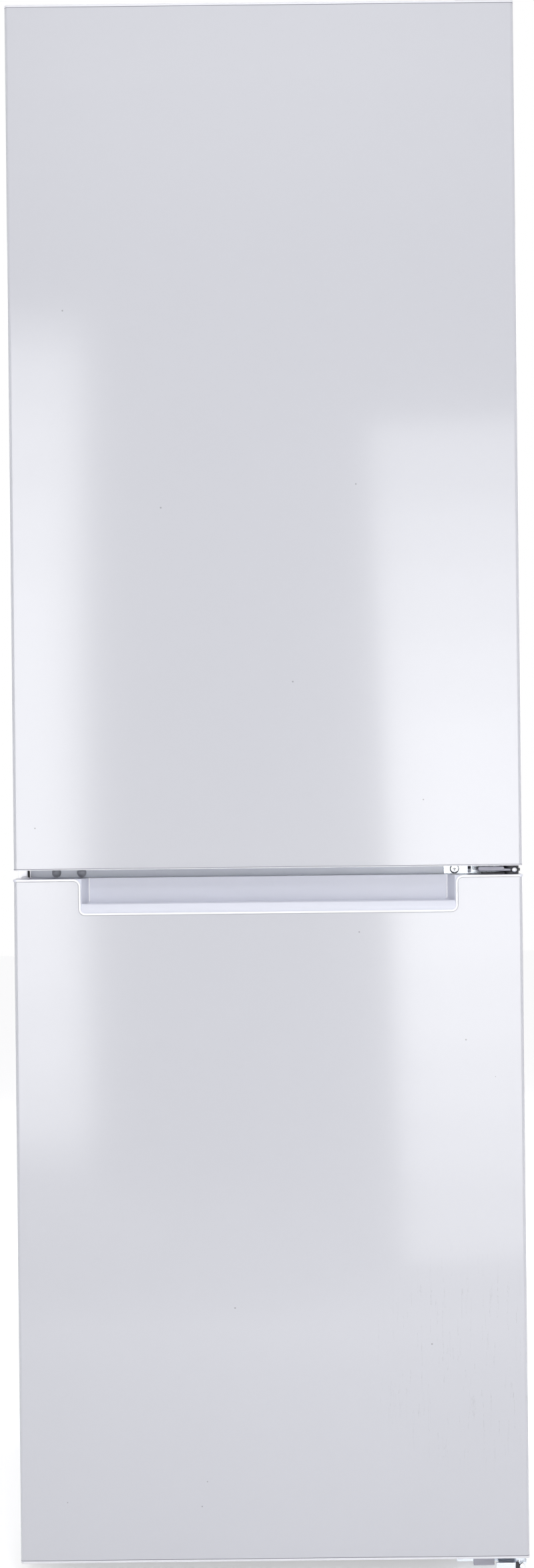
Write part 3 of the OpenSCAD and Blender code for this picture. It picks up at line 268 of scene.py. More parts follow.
def drawn_metal():
    """Fine lines along one axis, as rolling, drawing or brushing leaves on metal."""
    g = Group("drawn_metal", Along=(1.0, 1.0, 0.02), Depth=1.0, Rough=0.35)
    place = g.add("VectorMath", {0: g.point(), 1: g.input["Along"]}, operation="MULTIPLY")[0]
    lines = g.add("TexNoise", {"Vector": place, "Scale": 1500.0, "Detail": 3.0})[0]
    return g.done(Height=g.times(lines, g.input["Depth"], LINE_HEIGHT),
                  Roughness=g.math("ADD", g.input["Rough"], g.swing(lines, 0.3)))


def zinc_flowers():
    """Crystals of hot-dipped zinc: cells with crooked edges that differ in lightness and gloss."""
    g = Group("zinc_flowers", Colour=ZINC, Scale=90.0, Contrast=0.16)
    bent = g.add("VectorMath", {0: g.noise(160.0, 2.0)["Color"], 1: (0.006, 0.006, 0.006), 2: g.point()},
                 operation="MULTIPLY_ADD")[0]
    cell = g.add("TexVoronoi", {"Vector": bent, "Scale": g.input["Scale"]})["Color"]
    value = g.add("SeparateColor", {0: cell})[1]
    level = g.math("ADD", g.swing(value, g.input["Contrast"]), 1.0)
    return g.done(Colour=g.scaled(g.input["Colour"], level), Roughness=g.math("ADD", 0.34, g.times(value, 0.22)))


def settled_dust():
    """House dust: thin everywhere, thicker towards the floor and in soft clouds."""
    g = Group("settled_dust", Colour=PALE, Dust=DUST, Amount=0.2, Top=0.3)
    height = g.math("DIVIDE", g.add("SeparateXYZ", {0: g.point()})[2], g.input["Top"])
    low = g.add("MapRange", {"Value": height, "From Min": 0.0, "From Max": 1.0, "To Min": 1.0, "To Max": 0.12})[0]
    fall = g.times(low, g.noise(30.0, 5.0, Roughness=0.65)[0], g.input["Amount"])
    first, second, mixed = 6, 7, 2
    mix = g.add("Mix", {0: fall, first: g.input["Colour"], second: g.input["Dust"]}, data_type="RGBA")
    return g.done(Colour=mix[mixed])


GROUPS = {f.__name__: f() for f in (painted_sheet, tone_drift, moulded_grain, small_marks, drawn_metal,
                                    zinc_flowers, settled_dust)}


# ---- finishes ----

def srgb(r, g, b):
    """A colour read as 0-255 sRGB, turned into the linear light that shaders take."""
    c = np.array((r, g, b)) / 255
    return (*np.where(c <= 0.04045, c / 12.92, ((c + 0.055) / 1.055) ** 2.4).tolist(), 1.0)


class Finish:
    """A material under construction: the Principled shader's plain values and the shared effects before it."""

    def __init__(self, name, **plain):
        self.material = bpy.data.materials.new(name)
        self.material.use_nodes = True
        self.tree = self.material.node_tree
        self.shader = self.tree.nodes["Principled BSDF"]
        for label, value in plain.items():
            self.shader.inputs[label.replace("_", " ")].default_value = value

    def effect(self, group, **inputs):
        """Places a shared group; an input is a value or another effect's socket."""
        return add_node(self.tree, "Group", inputs, node_tree=GROUPS[group])

    def feed(self, label, source):
        self.tree.links.new(source, self.shader.inputs[label])

    def done(self, colour, surface=None, height=None, dust=0.0, top=0.3):
        """Feeds the colour, under dust where there is any, a surface's roughness and its height, and gives the
        material."""
        if dust:
            colour = self.effect("settled_dust", Colour=colour, Amount=dust, Top=top)["Colour"]
        self.feed("Base Color", colour)
        if surface:
            self.feed("Roughness", surface["Roughness"])
        height = (height or surface)["Height"]
        self.feed("Normal", add_node(self.tree, "Bump", {"Distance": 1.0, "Strength": 1.0, "Height": height})[0])
        return self.material


def painted(name, colour, rough, coat, peel=0.3, waves=1.0, where=(0, 0, 0), reach=0.2, specks=0.3,
            scratches=0.3, **plain):
    """Painted steel: colour with slow drift and small marks, a hard clear gloss and the peel of the spray."""
    f = Finish(name, Roughness=rough, Coat_Weight=coat, Coat_Roughness=0.1, IOR=1.5, **plain)
    drift = f.effect("tone_drift", Colour=srgb(*colour), Amount=0.018, Scale=2.6)
    marks = f.effect("small_marks", Colour=drift["Colour"], Specks=specks, Scratches=scratches, Where=where,
                     Reach=reach)
    return f.done(marks["Colour"], height=f.effect("painted_sheet", Peel=peel, Waves=waves))


def moulded(name, colour, rough, grain=0.6, scale=1400.0, dust=0.0, top=0.3, **plain):
    """Moulded plastic: an even colour with slight drift, fine grain and, where it gathers, dust."""
    f = Finish(name, IOR=1.49, **plain)
    drift = f.effect("tone_drift", Colour=srgb(*colour), Amount=0.02, Scale=7.0)
    grained = f.effect("moulded_grain", Scale=scale, Depth=grain, Rough=rough)
    return f.done(drift["Colour"], grained, dust=dust, top=top)


def metal(name, colour, rough, along, depth=1.0, dust=0.0, top=0.3):
    """Bare metal with the fine lines that its rolling or drawing left."""
    f = Finish(name, Metallic=1.0)
    drift = f.effect("tone_drift", Colour=srgb(*colour), Amount=0.05, Scale=18.0)
    drawn = f.effect("drawn_metal", Along=along, Depth=depth, Rough=rough)
    return f.done(drift["Colour"], drawn, dust=dust, top=top)


def zinc_plate(name, colour, scale, contrast):
    """Galvanised steel: zinc crystals, slightly dusty towards the floor."""
    f = Finish(name, Metallic=0.85)
    flowers = f.effect("zinc_flowers", Colour=srgb(*colour), Scale=scale, Contrast=contrast)
    grained = f.effect("moulded_grain", Scale=500.0, Depth=0.8, Rough=0.4)
    return f.done(flowers["Colour"], flowers, grained, dust=0.3, top=0.35)


def see_through(name, colour, rough, ior, grain=0.2):
    """Glass or clear plastic: plain transmission, with a faint unevenness of its surface."""
    f = Finish(name, Transmission_Weight=1.0, IOR=ior, Roughness=rough)
    drift = f.effect("tone_drift", Colour=srgb(*colour), Amount=0.01, Scale=9.0)
    return f.done(drift["Colour"], height=f.effect("painted_sheet", Peel=grain, Waves=grain))


UNMARKED = {"specks": 0.0, "scratches": 0.0}
FINISH = {
    "white_steel": painted("cabinet_paint", (206, 206, 210), 0.32, 0.25, peel=0.5),
    "door_steel": painted("door_paint", (191, 192, 199), 0.30, 1.0, where=(0.235, -0.315, 0.26), reach=0.14,
                          specks=0.45, scratches=0.22, Specular_IOR_Level=0.3, Coat_IOR=1.6),
    "galvanised": zinc_plate("zinc_plate", (176, 178, 181), 75.0, 0.22),
    "hinge_steel": metal("plated_hinge", (222, 228, 236), 0.24, (0.03, 1, 1)),
    "screw_steel": metal("bright_screw", (232, 234, 238), 0.26, (1, 1, 0.2)),
    "grey_steel": painted("crossbar_paint", (240, 244, 255), 0.42, 0.3, waves=0.5, Metallic=0.35),
    "black_steel": painted("compressor_black", (31, 32, 34), 0.38, 0.3, peel=2.0, **UNMARKED),
    "evaporator_steel": painted("evaporator_coat", (222, 224, 227), 0.3, 0.2, **UNMARKED),
    "aluminium": metal("aluminium_tube", (200, 202, 205), 0.3, (1, 0.05, 1)),
    "copper": metal("copper_tube", (181, 124, 96), 0.28, (1, 1, 0.05), dust=0.2, top=0.4),
    "white_plastic": moulded("white_moulding", (222, 222, 228), 0.3, grain=0.35),
    "lining": moulded("lining_sheet", (224, 226, 229), 0.24, grain=0.25, scale=700.0),
    "grey_plastic": moulded("grey_moulding", (168, 173, 183), 0.42),
    "black_plastic": moulded("black_moulding", (40, 41, 46), 0.4, grain=1.0),
    "clear_plastic": see_through("clear_moulding", (247, 250, 253), 0.09, 1.49),
    "glass": see_through("shelf_pane", (226, 240, 236), 0.02, 1.52),
    "bulb_glass": see_through("bulb_pane", (252, 250, 243), 0.25, 1.5),
    "seal": moulded("seal_rubber", (214, 214, 217), 0.5, grain=0.8, scale=500.0),
    "black_rubber": moulded("foot_rubber", (34, 34, 36), 0.6, grain=1.6, scale=600.0, dust=0.25, top=0.12),
    # a dark grey that paints shade: strips in the joints round the doors and a pad in the hinge's slot
    "joint": moulded("joint_shadow", (118, 119, 128), 0.6, grain=0.5),
    # a bright white: the hole plug's own white, and on the scoop's bead and corner bars a painted highlight
    "bright_white_and_highlight": moulded("bright_white_and_highlight", (246, 246, 250), 0.22, grain=0.2, Coat_Weight=0.6),
    # the trim's white made darker and bluer: painted shade in the scoop
    "scoop_white_shaded": moulded("scoop_white_shaded", (213, 215, 226), 0.3, grain=0.35),
    "plug_gloss": moulded("plug_gloss", (238, 241, 250), 0.3, grain=0.2, Coat_Weight=1.0,
                          Coat_Roughness=0.1),
    # a white brighter than the other white plastic: the end cap's own white with painted light on it, and a
    # painted highlight on the strip beside it
    "lit_cap_white": moulded("lit_cap_white", (248, 248, 252), 0.3, grain=0.2, Metallic=0.5),
    "rough_zinc": metal("arm_zinc", (158, 158, 167), 0.58, (0.05, 1, 1), depth=2.0),
    "foam": moulded("cast_foam", (214, 203, 158), 0.75, grain=9.0, scale=260.0),
}
for name, cad in nodes.items():
    cad.data.materials.clear()
    cad.data.materials.append(FINISH[slot_of_node[name]])

make_camera()
make_lamps()
make_world()
make_floor()
bpy.context.scene.view_settings.view_transform = "Standard"


# ---- making pieces: every length below is in millimetres ----

# Places that several pieces share: the hinge pins in plan, the middle height of the gap between the doors, the
# front of the crossbar and of the middle hinge's plate on it, that plate's screw, and the drain.
PIN, GAP = (285.5, -293.0), 827.75
DOOR_HALF, DOOR_FACE, DOOR_CORNER = 296.5, -314.2, 4.0
SCOOP_HALF, SCOOP_LOW, SCOOP_TOP, SCOOP_CORNER, SCOOP_FLARE = 221.0, 780.0, 820.0, 7.5, 6.0
BAR_FACE, PLATE_FACE = -255.0, -258.0
HINGE_SCREW, DRAIN = (222.0, GAP), (0.0, 893.25)
BIN_HEIGHT = 72.0
LEAST_RADIUS = 0.02


def rounded(x, y, r, n=5, along=0):
    """The outline of a rectangle with round corners: each corner is its centre plus r times the cosine and sine
    of n + 1 even angles, and each straight side gets `along` more points. r is one radius or four, from the
    corner at both high ends round."""
    r = np.broadcast_to(np.asarray(r, float), 4)
    turn = np.linspace(0, pi / 2, n + 1)
    corners = []
    for k, (i, j) in enumerate(((1, 1), (0, 1), (0, 0), (1, 0))):
        a = turn + k * pi / 2
        in_x, in_y = (r[k], -r[k])[i], (r[k], -r[k])[j]
        corners.append(np.c_[x[i] + in_x + r[k] * np.cos(a), y[j] + in_y + r[k] * np.sin(a)])
    part = np.linspace(0, 1, along + 2)[1:-1, None]
    sides = [a[-1] * (1 - part) + b[0] * part for a, b in zip(corners, corners[1:] + corners[:1])]
    return np.concatenate([p for pair in zip(corners, sides) for p in pair])


def circle(centre, r, n):
    """The outline of a circle: its centre plus r times the cosine and sine of n even angles."""
    a = np.linspace(0, 2 * pi, n, endpoint=False)
    return np.c_[centre[0] + r * np.cos(a), centre[1] + r * np.sin(a)]


def placed(outline, level, axis="z"):
    """A flat outline at a level of an axis: (x, y) at a height, (x, z) at a depth, or (y, z) at an x."""
    a, b = np.asarray(outline, float).T
    c = np.full_like(a, level)
    return np.stack({"z": (a, b, c), "y": (a, c, b), "x": (c, a, b)}[axis], -1)


def skin(rings, around=False):
    """Closed rings of equal count joined to their neighbours by four-sided faces. One flat face closes each
    end, or the last ring joins the first."""
    rings = np.asarray(rings)
    m, n = rings.shape[:2]
    i, j = np.arange(m if around else m - 1)[:, None], np.arange(n)[None, :]
    k, l = (i + 1) % m, (j + 1) % n
    faces = np.stack(np.broadcast_arrays(i * n + j, i * n + l, k * n + l, k * n + j), -1).reshape(-1, 4).tolist()
    if not around:
        faces += [list(range(n)), list(range((m - 1) * n, m * n))]
    return rings.reshape(-1, 3), faces


def scaled_rings(outline, middle, steps, axis="z"):
    """An outline drawn in towards a middle by each step's scale and set at each step's level."""
    outline, middle = np.array(outline), np.array(middle)
    return skin([placed(middle + (outline - middle) * scale, level, axis) for scale, level in steps])


def bend(centre, r, start, end, n=4):
    """Points of an arc: the centre plus r times the cosine and sine of n + 1 even angles in degrees."""
    a = np.radians(np.linspace(start, end, n + 1))
    return np.c_[centre[0] + r * np.cos(a), centre[1] + r * np.sin(a)].tolist()


def carried(x, y, r, profile, axis="z", n=5, along=0, around=False):
    """A profile of (inset, level) pairs carried round a rounded rectangle: each pair draws the outline in by
    its inset, with its corners' radius less by as much, and sets it at its level."""
    rings = []
    for g, level in profile:
        outline = rounded((x[0] + g, x[1] - g), (y[0] + g, y[1] - g), np.maximum(np.asarray(r) - g, 0.3), n, along)
        rings.append(placed(outline, level, axis))
    return skin(rings, around)


def pad(x, y, z, r, edge, axis="z", n=4):
    """A block with round corners in plan and quarter-round edges above and below."""
    profile = bend((edge, z[0] + edge), edge, -90, -180, 3) + bend((edge, z[1] - edge), edge, 180, 90, 3)
    return carried(x, y, r, profile, axis, n)


def vessel(x, y, z, r, wall, draft, foot, along=0):
    """A tub: from its bottom round the foot, up a wall that leans out by the draft, over a half-round rim of
    the wall's thickness and down the inside to its floor."""
    h, inner = wall / 2, max(foot - wall, 1.0)
    profile = bend((draft + foot, z[0] + foot), foot, -90, -180) + bend((h, z[1] - h), h, 180, 0, 4)
    profile += bend((draft + wall + inner, z[0] + wall + inner), inner, 180, 270)
    return carried(x, y, r, profile, "z", 6, along)


def turned(profile, centre, axis="y", n=28, around=False):
    """A profile of (radius, level) pairs turned about an axis through the centre."""
    return skin([placed(circle(centre, max(r, LEAST_RADIUS), n), level, axis) for r, level in profile], around)


def framed(outer, hole, y, r, edge, axis="y"):
    """A plate with an opening: rings run over its front face from the outer outline to the opening's, through
    the opening and back, each corner of the section a quarter round."""
    (front, back), e = y, edge
    steps = [(0, 0, back - e), (0, 0, front + e), (0, -0.3 * e, front + 0.3 * e), (0, -e, front), (1, e, front),
             (1, 0.3 * e, front + 0.3 * e), (1, 0, front + e), (1, 0, back - e), (1, e, back), (0, -e, back)]
    rings = []
    for k, grow, level in steps:
        x0, x1, z0, z1 = (outer, hole)[k]
        rings.append(placed(rounded((x0 - grow, x1 + grow), (z0 - grow, z1 + grow), r[k]), level, axis))
    return skin(rings, around=True)


def bar(start, end, r, n=10):
    """A straight round rod with slightly rounded ends."""
    p, q = np.asarray(start, float), np.asarray(end, float)
    way = (q - p) / np.linalg.norm(q - p)
    side = np.cross(way, np.eye(3)[np.argmin(np.abs(way))])
    side /= np.linalg.norm(side)
    a = np.linspace(0, 2 * pi, n, endpoint=False)[:, None]
    out = np.cos(a) * side + np.sin(a) * np.cross(side, way)
    e = r * 0.25
    return skin([p + out * (r - e), p + way * e + out * r, q - way * e + out * r, q + out * (r - e)])


def swept(path, out, section):
    """A section of (side, height) pairs carried along a path: height runs along the outward vector at each
    point, and side across it, square to the path and to outward."""
    p, o = np.asarray(path, float), np.broadcast_to(np.asarray(out, float), np.shape(path))
    way = np.gradient(p, axis=0)
    way /= np.linalg.norm(way, axis=1)[:, None]
    side = np.cross(o, way)
    s = np.asarray(section, float)
    return skin(p[:, None] + s[None, :, :1] * side[:, None] + s[None, :, 1:] * o[:, None])


def mirrored(part):
    """The same part on the other side of the plane x = 0."""
    points, faces = part
    return points * (-1, 1, 1), [f[::-1] for f in faces]


def dipped(part, mask, level):
    """Points of a part where mask holds are brought down to at most a level that depends on where they are."""
    p, faces = part
    p = p.copy()
    m = mask(p)
    p[m, 2] = np.minimum(p[m, 2], level(p[m]))
    return p, faces


def span(node):
    """A node's ranges along x, y and z in millimetres."""
    lo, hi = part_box(node)
    return [(a / MM, b / MM) for a, b in zip(lo, hi)]


def middle_of(*ranges):
    """The middle of each range."""
    return tuple((low + high) / 2 for low, high in ranges)


def edited(mesh, change):
    """Makes a change to a mesh by way of an editable copy."""
    build = bmesh.new()
    build.from_mesh(mesh)
    change(build)
    build.to_mesh(mesh)
    build.free()


def make(name, parts, node=None, slot=None, body="cabinet", angle=None, edge=0.0):
    """Joins closed shells, each points and faces, into one piece. A shell's faces agree with their neighbours,
    and enclose a positive volume round its own middle, so that they face out. A piece that replaces a node
    takes the node's body and, unless told otherwise, its slot and a wider angle."""
    build = bmesh.new()
    mesh = bpy.data.meshes.new(name)
    for points, faces in parts:
        middle = points.mean(0)
        mesh.clear_geometry()
        mesh.from_pydata(((points - middle) * MM).tolist(), [], faces)

        def face_out(shell):
            bmesh.ops.recalc_face_normals(shell, faces=shell.faces)
            if shell.calc_volume(signed=True) < 0:
                bmesh.ops.reverse_faces(shell, faces=shell.faces)
            bmesh.ops.translate(shell, vec=Vector(middle * MM), verts=shell.verts)
        edited(mesh, face_out)
        build.from_mesh(mesh)
    build.to_mesh(mesh)
    build.free()
    return finish_piece(name, mesh, node, slot, body, angle or (40 if node else 32), edge)


def finish_piece(name, mesh, node, slot, body, angle, edge, rounds=2):
    """Puts a mesh into the scene as a piece: smooth within the angle, with its sharp edges softened by edge."""
    if node:
        body, slot = body_of_node[node], slot or slot_of_node[node]
    mesh.polygons.foreach_set("use_smooth", np.ones(len(mesh.polygons), bool))
    mesh.set_sharp_from_angle(angle=radians(angle))
    mesh.materials.clear()
    mesh.materials.append(FINISH[slot])
    piece = bpy.data.objects.new(name, mesh)
    bpy.context.scene.collection.objects.link(piece)
    if edge:
        bevel = piece.modifiers.new("edge", "BEVEL")
        bevel.width = edge * MM
        bevel.segments = rounds
        bevel.limit_method = "ANGLE"
        bevel.angle_limit = radians(angle)
    shade = piece.modifiers.new("shade", "WEIGHTED_NORMAL")
    shade.keep_sharp = True
    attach(piece, body)
    if node:
        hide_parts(node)
    return piece


def softened(node, edge, angle=32, rounds=2, finish=None, joined=2e-6):
    """A copy of a node's mesh, joined up by distance, its flat faces made whole and its sharp edges rounded."""
    def join(build):
        bmesh.ops.remove_doubles(build, verts=build.verts, dist=joined)
        bmesh.ops.dissolve_limit(build, angle_limit=radians(0.4), verts=build.verts, edges=build.edges)
    mesh = nodes[node].data.copy()
    edited(mesh, join)
    return finish_piece(node + "_soft", mesh, node, finish, None, angle, edge, rounds)


# ---- doors ----

def door_seals():
    """A magnetic seal's section, with its folds at both sides, carried round each door's rear edge."""
    section = [(4, 0), (1.2, 1.5), (0.3, 3.5), (1.9, 5.4), (0.4, 7.2), (0.5, 10.2), (1.7, 11.68), (9, 11.5),
               (16.3, 11.68), (17.6, 10.4), (17.6, 8.4), (15.8, 6.6), (17.5, 4.4), (17.0, 1.8), (14, 0)]
    for node in ("fridge_door_seal", "freezer_door_seal"):
        x, y, z = span(node)
        loop = [(g, y[0] + d) for g, d in section]
        make(node + "_folded", [carried(x, z, 1.0, loop, "y", 2, around=True)], node, angle=50)


def mouth(inset):
    """The scoop's edge on the freezer door's face, from one side of the door to the other: along the top, down
    through a quarter circle, along the foot and back up, at an inset from the cut in the skin."""
    flare_x = SCOOP_HALF + SCOOP_FLARE
    centre = (SCOOP_HALF - SCOOP_CORNER, SCOOP_LOW + SCOOP_CORNER)
    corner = np.array(bend(centre, SCOOP_CORNER - inset, -90, 0, 7))
    flare = np.array(bend((flare_x, SCOOP_TOP - SCOOP_FLARE), SCOOP_FLARE + inset, 180, 90, 7))
    foot = np.c_[np.linspace(0, corner[0, 0], 12)[:-1], np.full(11, SCOOP_LOW + inset)]
    top = np.c_[np.linspace(flare_x, 293, 6)[1:], np.full(5, SCOOP_TOP + inset)]
    half = np.concatenate([foot, corner, flare, top])
    return placed(np.concatenate([half[:0:-1] * (-1, 1), half]), DOOR_FACE, "y")


def plan_edge(z):
    """The outline of a door in plan, from its rear corner round the front to the other: straight sides and two
    quarter circles, with the outward vector at each point."""
    turn = np.radians(np.linspace(0, -90, 8))
    normal = np.c_[np.cos(turn), np.sin(turn)]
    arc = (DOOR_HALF - DOOR_CORNER, DOOR_FACE + DOOR_CORNER) + DOOR_CORNER * normal
    right = np.concatenate([[(DOOR_HALF, -268.5), (DOOR_HALF, -290)], arc, [(200, DOOR_FACE), (90, DOOR_FACE)]])
    out = np.concatenate([[(1, 0), (1, 0)], normal, [(0, -1), (0, -1)]])
    line = np.concatenate([right, right[::-1] * (-1, 1)])
    out = np.concatenate([out, out[::-1] * (-1, 1)])
    return placed(line, z), np.c_[out, np.zeros(len(out))]


def freezer_trim():
    """The freezer door's moulded top, its face set back to the skin and the loose crumbs of its mesh left out, in
    a darker, bluer white that paints the shade of the scoop; with a round bead, whose section is a half circle
    carried along the edge of the scoop, and a thin bar in each inner corner of the scoop, both in a brighter
    white that paints their highlights."""
    def drop_crumbs(build):
        whole = {min(build.verts, key=lambda v: v.co.x)}
        fresh = list(whole)
        while fresh:
            fresh = {e.other_vert(v) for v in fresh for e in v.link_edges} - whole
            whole |= fresh
        bmesh.ops.delete(build, geom=[v for v in build.verts if v not in whole], context="VERTS")
        for v in build.verts:
            v.co.y = max(v.co.y, (DOOR_FACE - 0.05) * MM)
    trim = softened("freezer_handle_trim", 0.9, 28, 3, "scoop_white_shaded", 5e-5)
    edited(trim.data, drop_crumbs)
    arc = [(-1.2 * cos(a), 0.8 * sin(a)) for a in np.linspace(0.12, pi - 0.12, 8)]
    bead = swept(mouth(1.28), (0, -1, 0), [(-1.2, -0.9), *arc, (1.2, -0.9)])
    # thin bright bars in the scoop's inner corners: painted highlight lines
    corner = bar((210.5, -287.5, 792.5), (210.5, -287.5, 822.2), 0.8)
    make("scoop_bead_and_highlights", [bead, corner, mirrored(corner)], slot="bright_white_and_highlight", body="freezer_door", angle=60)


def painted_joint_shade():
    """Thin dark strips that paint the shade in the joints between the steel skins and their mouldings: a flat
    section carried along each.
    """
    thin = [(-0.32, -0.4), (-0.32, 0.06), (0.32, 0.06), (0.32, -0.4)]
    # dark strips along the joints: painted shade
    lines = [swept(mouth(0.05), (0, -1, 0), thin), swept(*plan_edge(29.0), thin)]
    make("freezer_door_joint_shade", lines, slot="joint", body="freezer_door")
    lines = [swept(*plan_edge(z), thin) for z in (834.4, 1838.4)]
    make("fridge_door_joint_shade", lines, slot="joint", body="fridge_door")


def plug_domes():
    """Two domed plugs in the spare screw holes and the cover over the hinge's other side: their profiles fall
    away as a power of the distance from the middle, as a cushioned button does."""
    x, y, z = span("crossbar_plugs")
    foot = [(5.6, BAR_FACE + 0.1), (2.3, BAR_FACE + 0.1), (2.3, BAR_FACE + 0.9)]
    dome = [(5.6 * q, BAR_FACE - 2.65 * (1 - q ** 2.6)) for q in np.linspace(0, 1, 9)] + foot
    make("crossbar_plug_domes", [turned(dome, (at, *middle_of(z))) for at in (-222.0, -252.0)],
         "crossbar_plugs", "plug_gloss", angle=32)
    end = x[0]
    cap = pad((end, end + 11.2), z, (-266.5, -254), 1.6, 0.7, "y")
    # a bright strip beside the cap: a painted highlight on the crossbar's edge
    edge_highlight = pad((end + 12.8, end + 14.4), z, (-258.5, -254.5), 0.6, 0.3, "y")
    make("crossbar_end_cap_and_highlight", [cap, edge_highlight], slot="lit_cap_white")
    # a black pad in the gap between cap and crossbar: painted shade
    slot_shade = pad((end + 11.2, end + 12.8), z, (-257, -254.6), 0.4, 0.2, "y")
    make("crossbar_end_slot_shade", [slot_shade], slot="black_plastic")


def hinge_hole_plug():
    """The freezer door's black bushes and stop as they are, and over its spare hinge hole a white cushioned
    button, whose profile falls away as a power of the distance from its middle."""
    def drop_left(build):
        bmesh.ops.delete(build, geom=[v for v in build.verts if v.co.x < 0], context="VERTS")
    edited(softened("freezer_door_bushes", 0.4).data, drop_left)
    dome = [(6.5 * q, 822.6 + 3.05 * (1 - q ** 2.4)) for q in np.linspace(0, 1, 10)] + [(6.5, 822.5), (3, 822.5)]
    make("freezer_hole_plug", [turned(dome, (-PIN[0], PIN[1]), "z")], slot="bright_white_and_highlight", body="freezer_door")


def middle_hinge():
    """The folded hinge between the doors: a plate with a slot on the crossbar, an arm with a round nose and a
    folded front edge, the pin through both, and the clip with its bright rivet over the nose."""
    z = span("mid_hinge")[2]
    plate = framed((209, 284.5, GAP - 14.5, GAP + 14.5), (238, 241.5, GAP - 4.5, GAP + 4.5),
                   (PLATE_FACE, BAR_FACE - 0.02), (2.5, 1.6), 0.5)
    nose = bend(PIN, 9.9, -90, 0, 8) + [(295.4, -266), (284.5, -260.5), (284.5, -255.5), (257.5, -255.5)]
    nose += [(257.5, -270), (254, -274), (246.5, -278), (245.6, -280), (245.6, -300.5), (247, -302), (250, -302.9)]
    arm = scaled_rings(nose, (266.0, -284.0), [(0.985, GAP - 1.49), (0.998, GAP - 1.2), (1, GAP - 0.8),
                                               (1, GAP + 0.8), (0.998, GAP + 1.2), (0.985, GAP + 1.49)])
    pin = turned([(3.2, z[0]), (3.98, z[0] + 1), (3.98, z[1] - 1), (3.2, z[1])], PIN, "z", 24)
    fold = pad((243.2, 250), (GAP - 1.6, GAP + 4.6), (-261.5, -257.9), 1.8, 0.6, "y")
    make("middle_hinge", [plate, pin, fold], "mid_hinge", angle=30, edge=0.25)
    flange = pad((245.8, 276.5), (GAP - 0.9, GAP + 4.0), (-303.6, -301), 2.3, 0.6, "y")
    make("middle_hinge_arm", [arm, flange], slot="rough_zinc", angle=30, edge=0.25)
    clip_edge = bend(PIN, 10.6, -100, 5, 10) + bend(PIN, 8.2, 5, -100, 10)
    clip = skin([placed(clip_edge, level) for level in (GAP - 1.65, GAP + 1.65)])
    make("hinge_nose_clip", [clip], slot="black_plastic", edge=0.3)
    profile = [(2.9, -303.4), (2.9, -303.8), (2.2, -304.6), (1.2, -304.9), (0, -305)]
    make("hinge_nose_rivet", [turned(profile, (288.2, GAP - 0.1), n=20)], slot="screw_steel")


def hinge_screw():
    """The flat bright head of the middle hinge's screw, and dark pieces that paint shade: a ring round the head
    for the shade in its countersink, a cross on it for the shade in its recess, and a pad in the slot beside it."""
    x, z = HINGE_SCREW
    # a black ring round the head: painted shade in the countersink
    shade_ring = turned([(4.7, PLATE_FACE - 0.02), (5.7, PLATE_FACE - 0.02), (5.7, PLATE_FACE - 0.35),
                   (4.7, PLATE_FACE - 0.5)], HINGE_SCREW, n=32)
    # a black cross on the head: painted shade in its recess
    cross = [pad((x - a, x + a), (z - b, z + b), (-260.6, -260.2), 0.4, 0.1, "y", 2)
             for a, b in ((2.3, 0.44), (0.44, 2.3))]
    make("hinge_screw_shade_marks", [shade_ring, *cross], slot="black_rubber")
    profile = [(4.65, -258.4), (4.65, -260.0), (4.5, -260.3), (4.2, -260.42), (0, -260.45)]
    make("hinge_screw_head", [turned(profile, HINGE_SCREW, n=32)], slot="screw_steel")
    # a grey pad in the slot: painted shade
    shade = pad((238.1, 241.4), (z - 0.5, z + 4.4), (-257.2, -255.1), 1.2, 0.3, "y")
    make("hinge_slot_shade", [shade], slot="joint")


def bottom_hinge_front():
    """The folded front edges of the bottom hinge: a grey lip along its bracket, a bright lip along its tongue,
    and the levelling screw's black collar and bright round head beside the pin."""
    top = 16.9
    for name, x, z, y, r, edge, slot in (
            ("bracket_lip", (233, 257.6), (-7, 2), (-290.6, -288.6), 0.8, 0.3, "rough_zinc"),
            ("tongue_lip", (258.4, 281), (-6.4, 0.4), (-303.9, -301.4), 0.8, 0.55, "hinge_steel"),
            ("collar", (281.4, 285.4), (-9.5, 0.6), (-304.6, -300.6), 1.2, 0.6, "black_plastic")):
        make("bottom_hinge_" + name, [pad(x, (top + z[0], top + z[1]), y, r, edge, "y")], slot=slot)
    profile = [(3.0, -301), (3.9, -301.4), (3.9, -303.6), (3.1, -304.9), (1.6, -305.6), (0, -305.8)]
    make("bottom_hinge_screw_head", [turned(profile, (288.9, top - 3.6), n=24)], slot="screw_steel")


def hinge_cover():
    """The cover over the top hinge: a low cap with wide round edges above and a plain open foot."""
    x, y, z = span("top_hinge_cover")
    profile = [(0.2, z[0] + 0.02), (0, z[0] + 0.4)] + bend((3.2, z[1] - 3.2), 3.2, 180, 90, 6)
    make("top_hinge_cap", [carried(x, y, 7, profile, "z", 6)], "top_hinge_cover")


def bin_floors():
    """The heights of the three small bins' floors."""
    low, high = span("door_bins")[2]
    return [low + k * (high - BIN_HEIGHT - low) / 2 for k in range(3)]


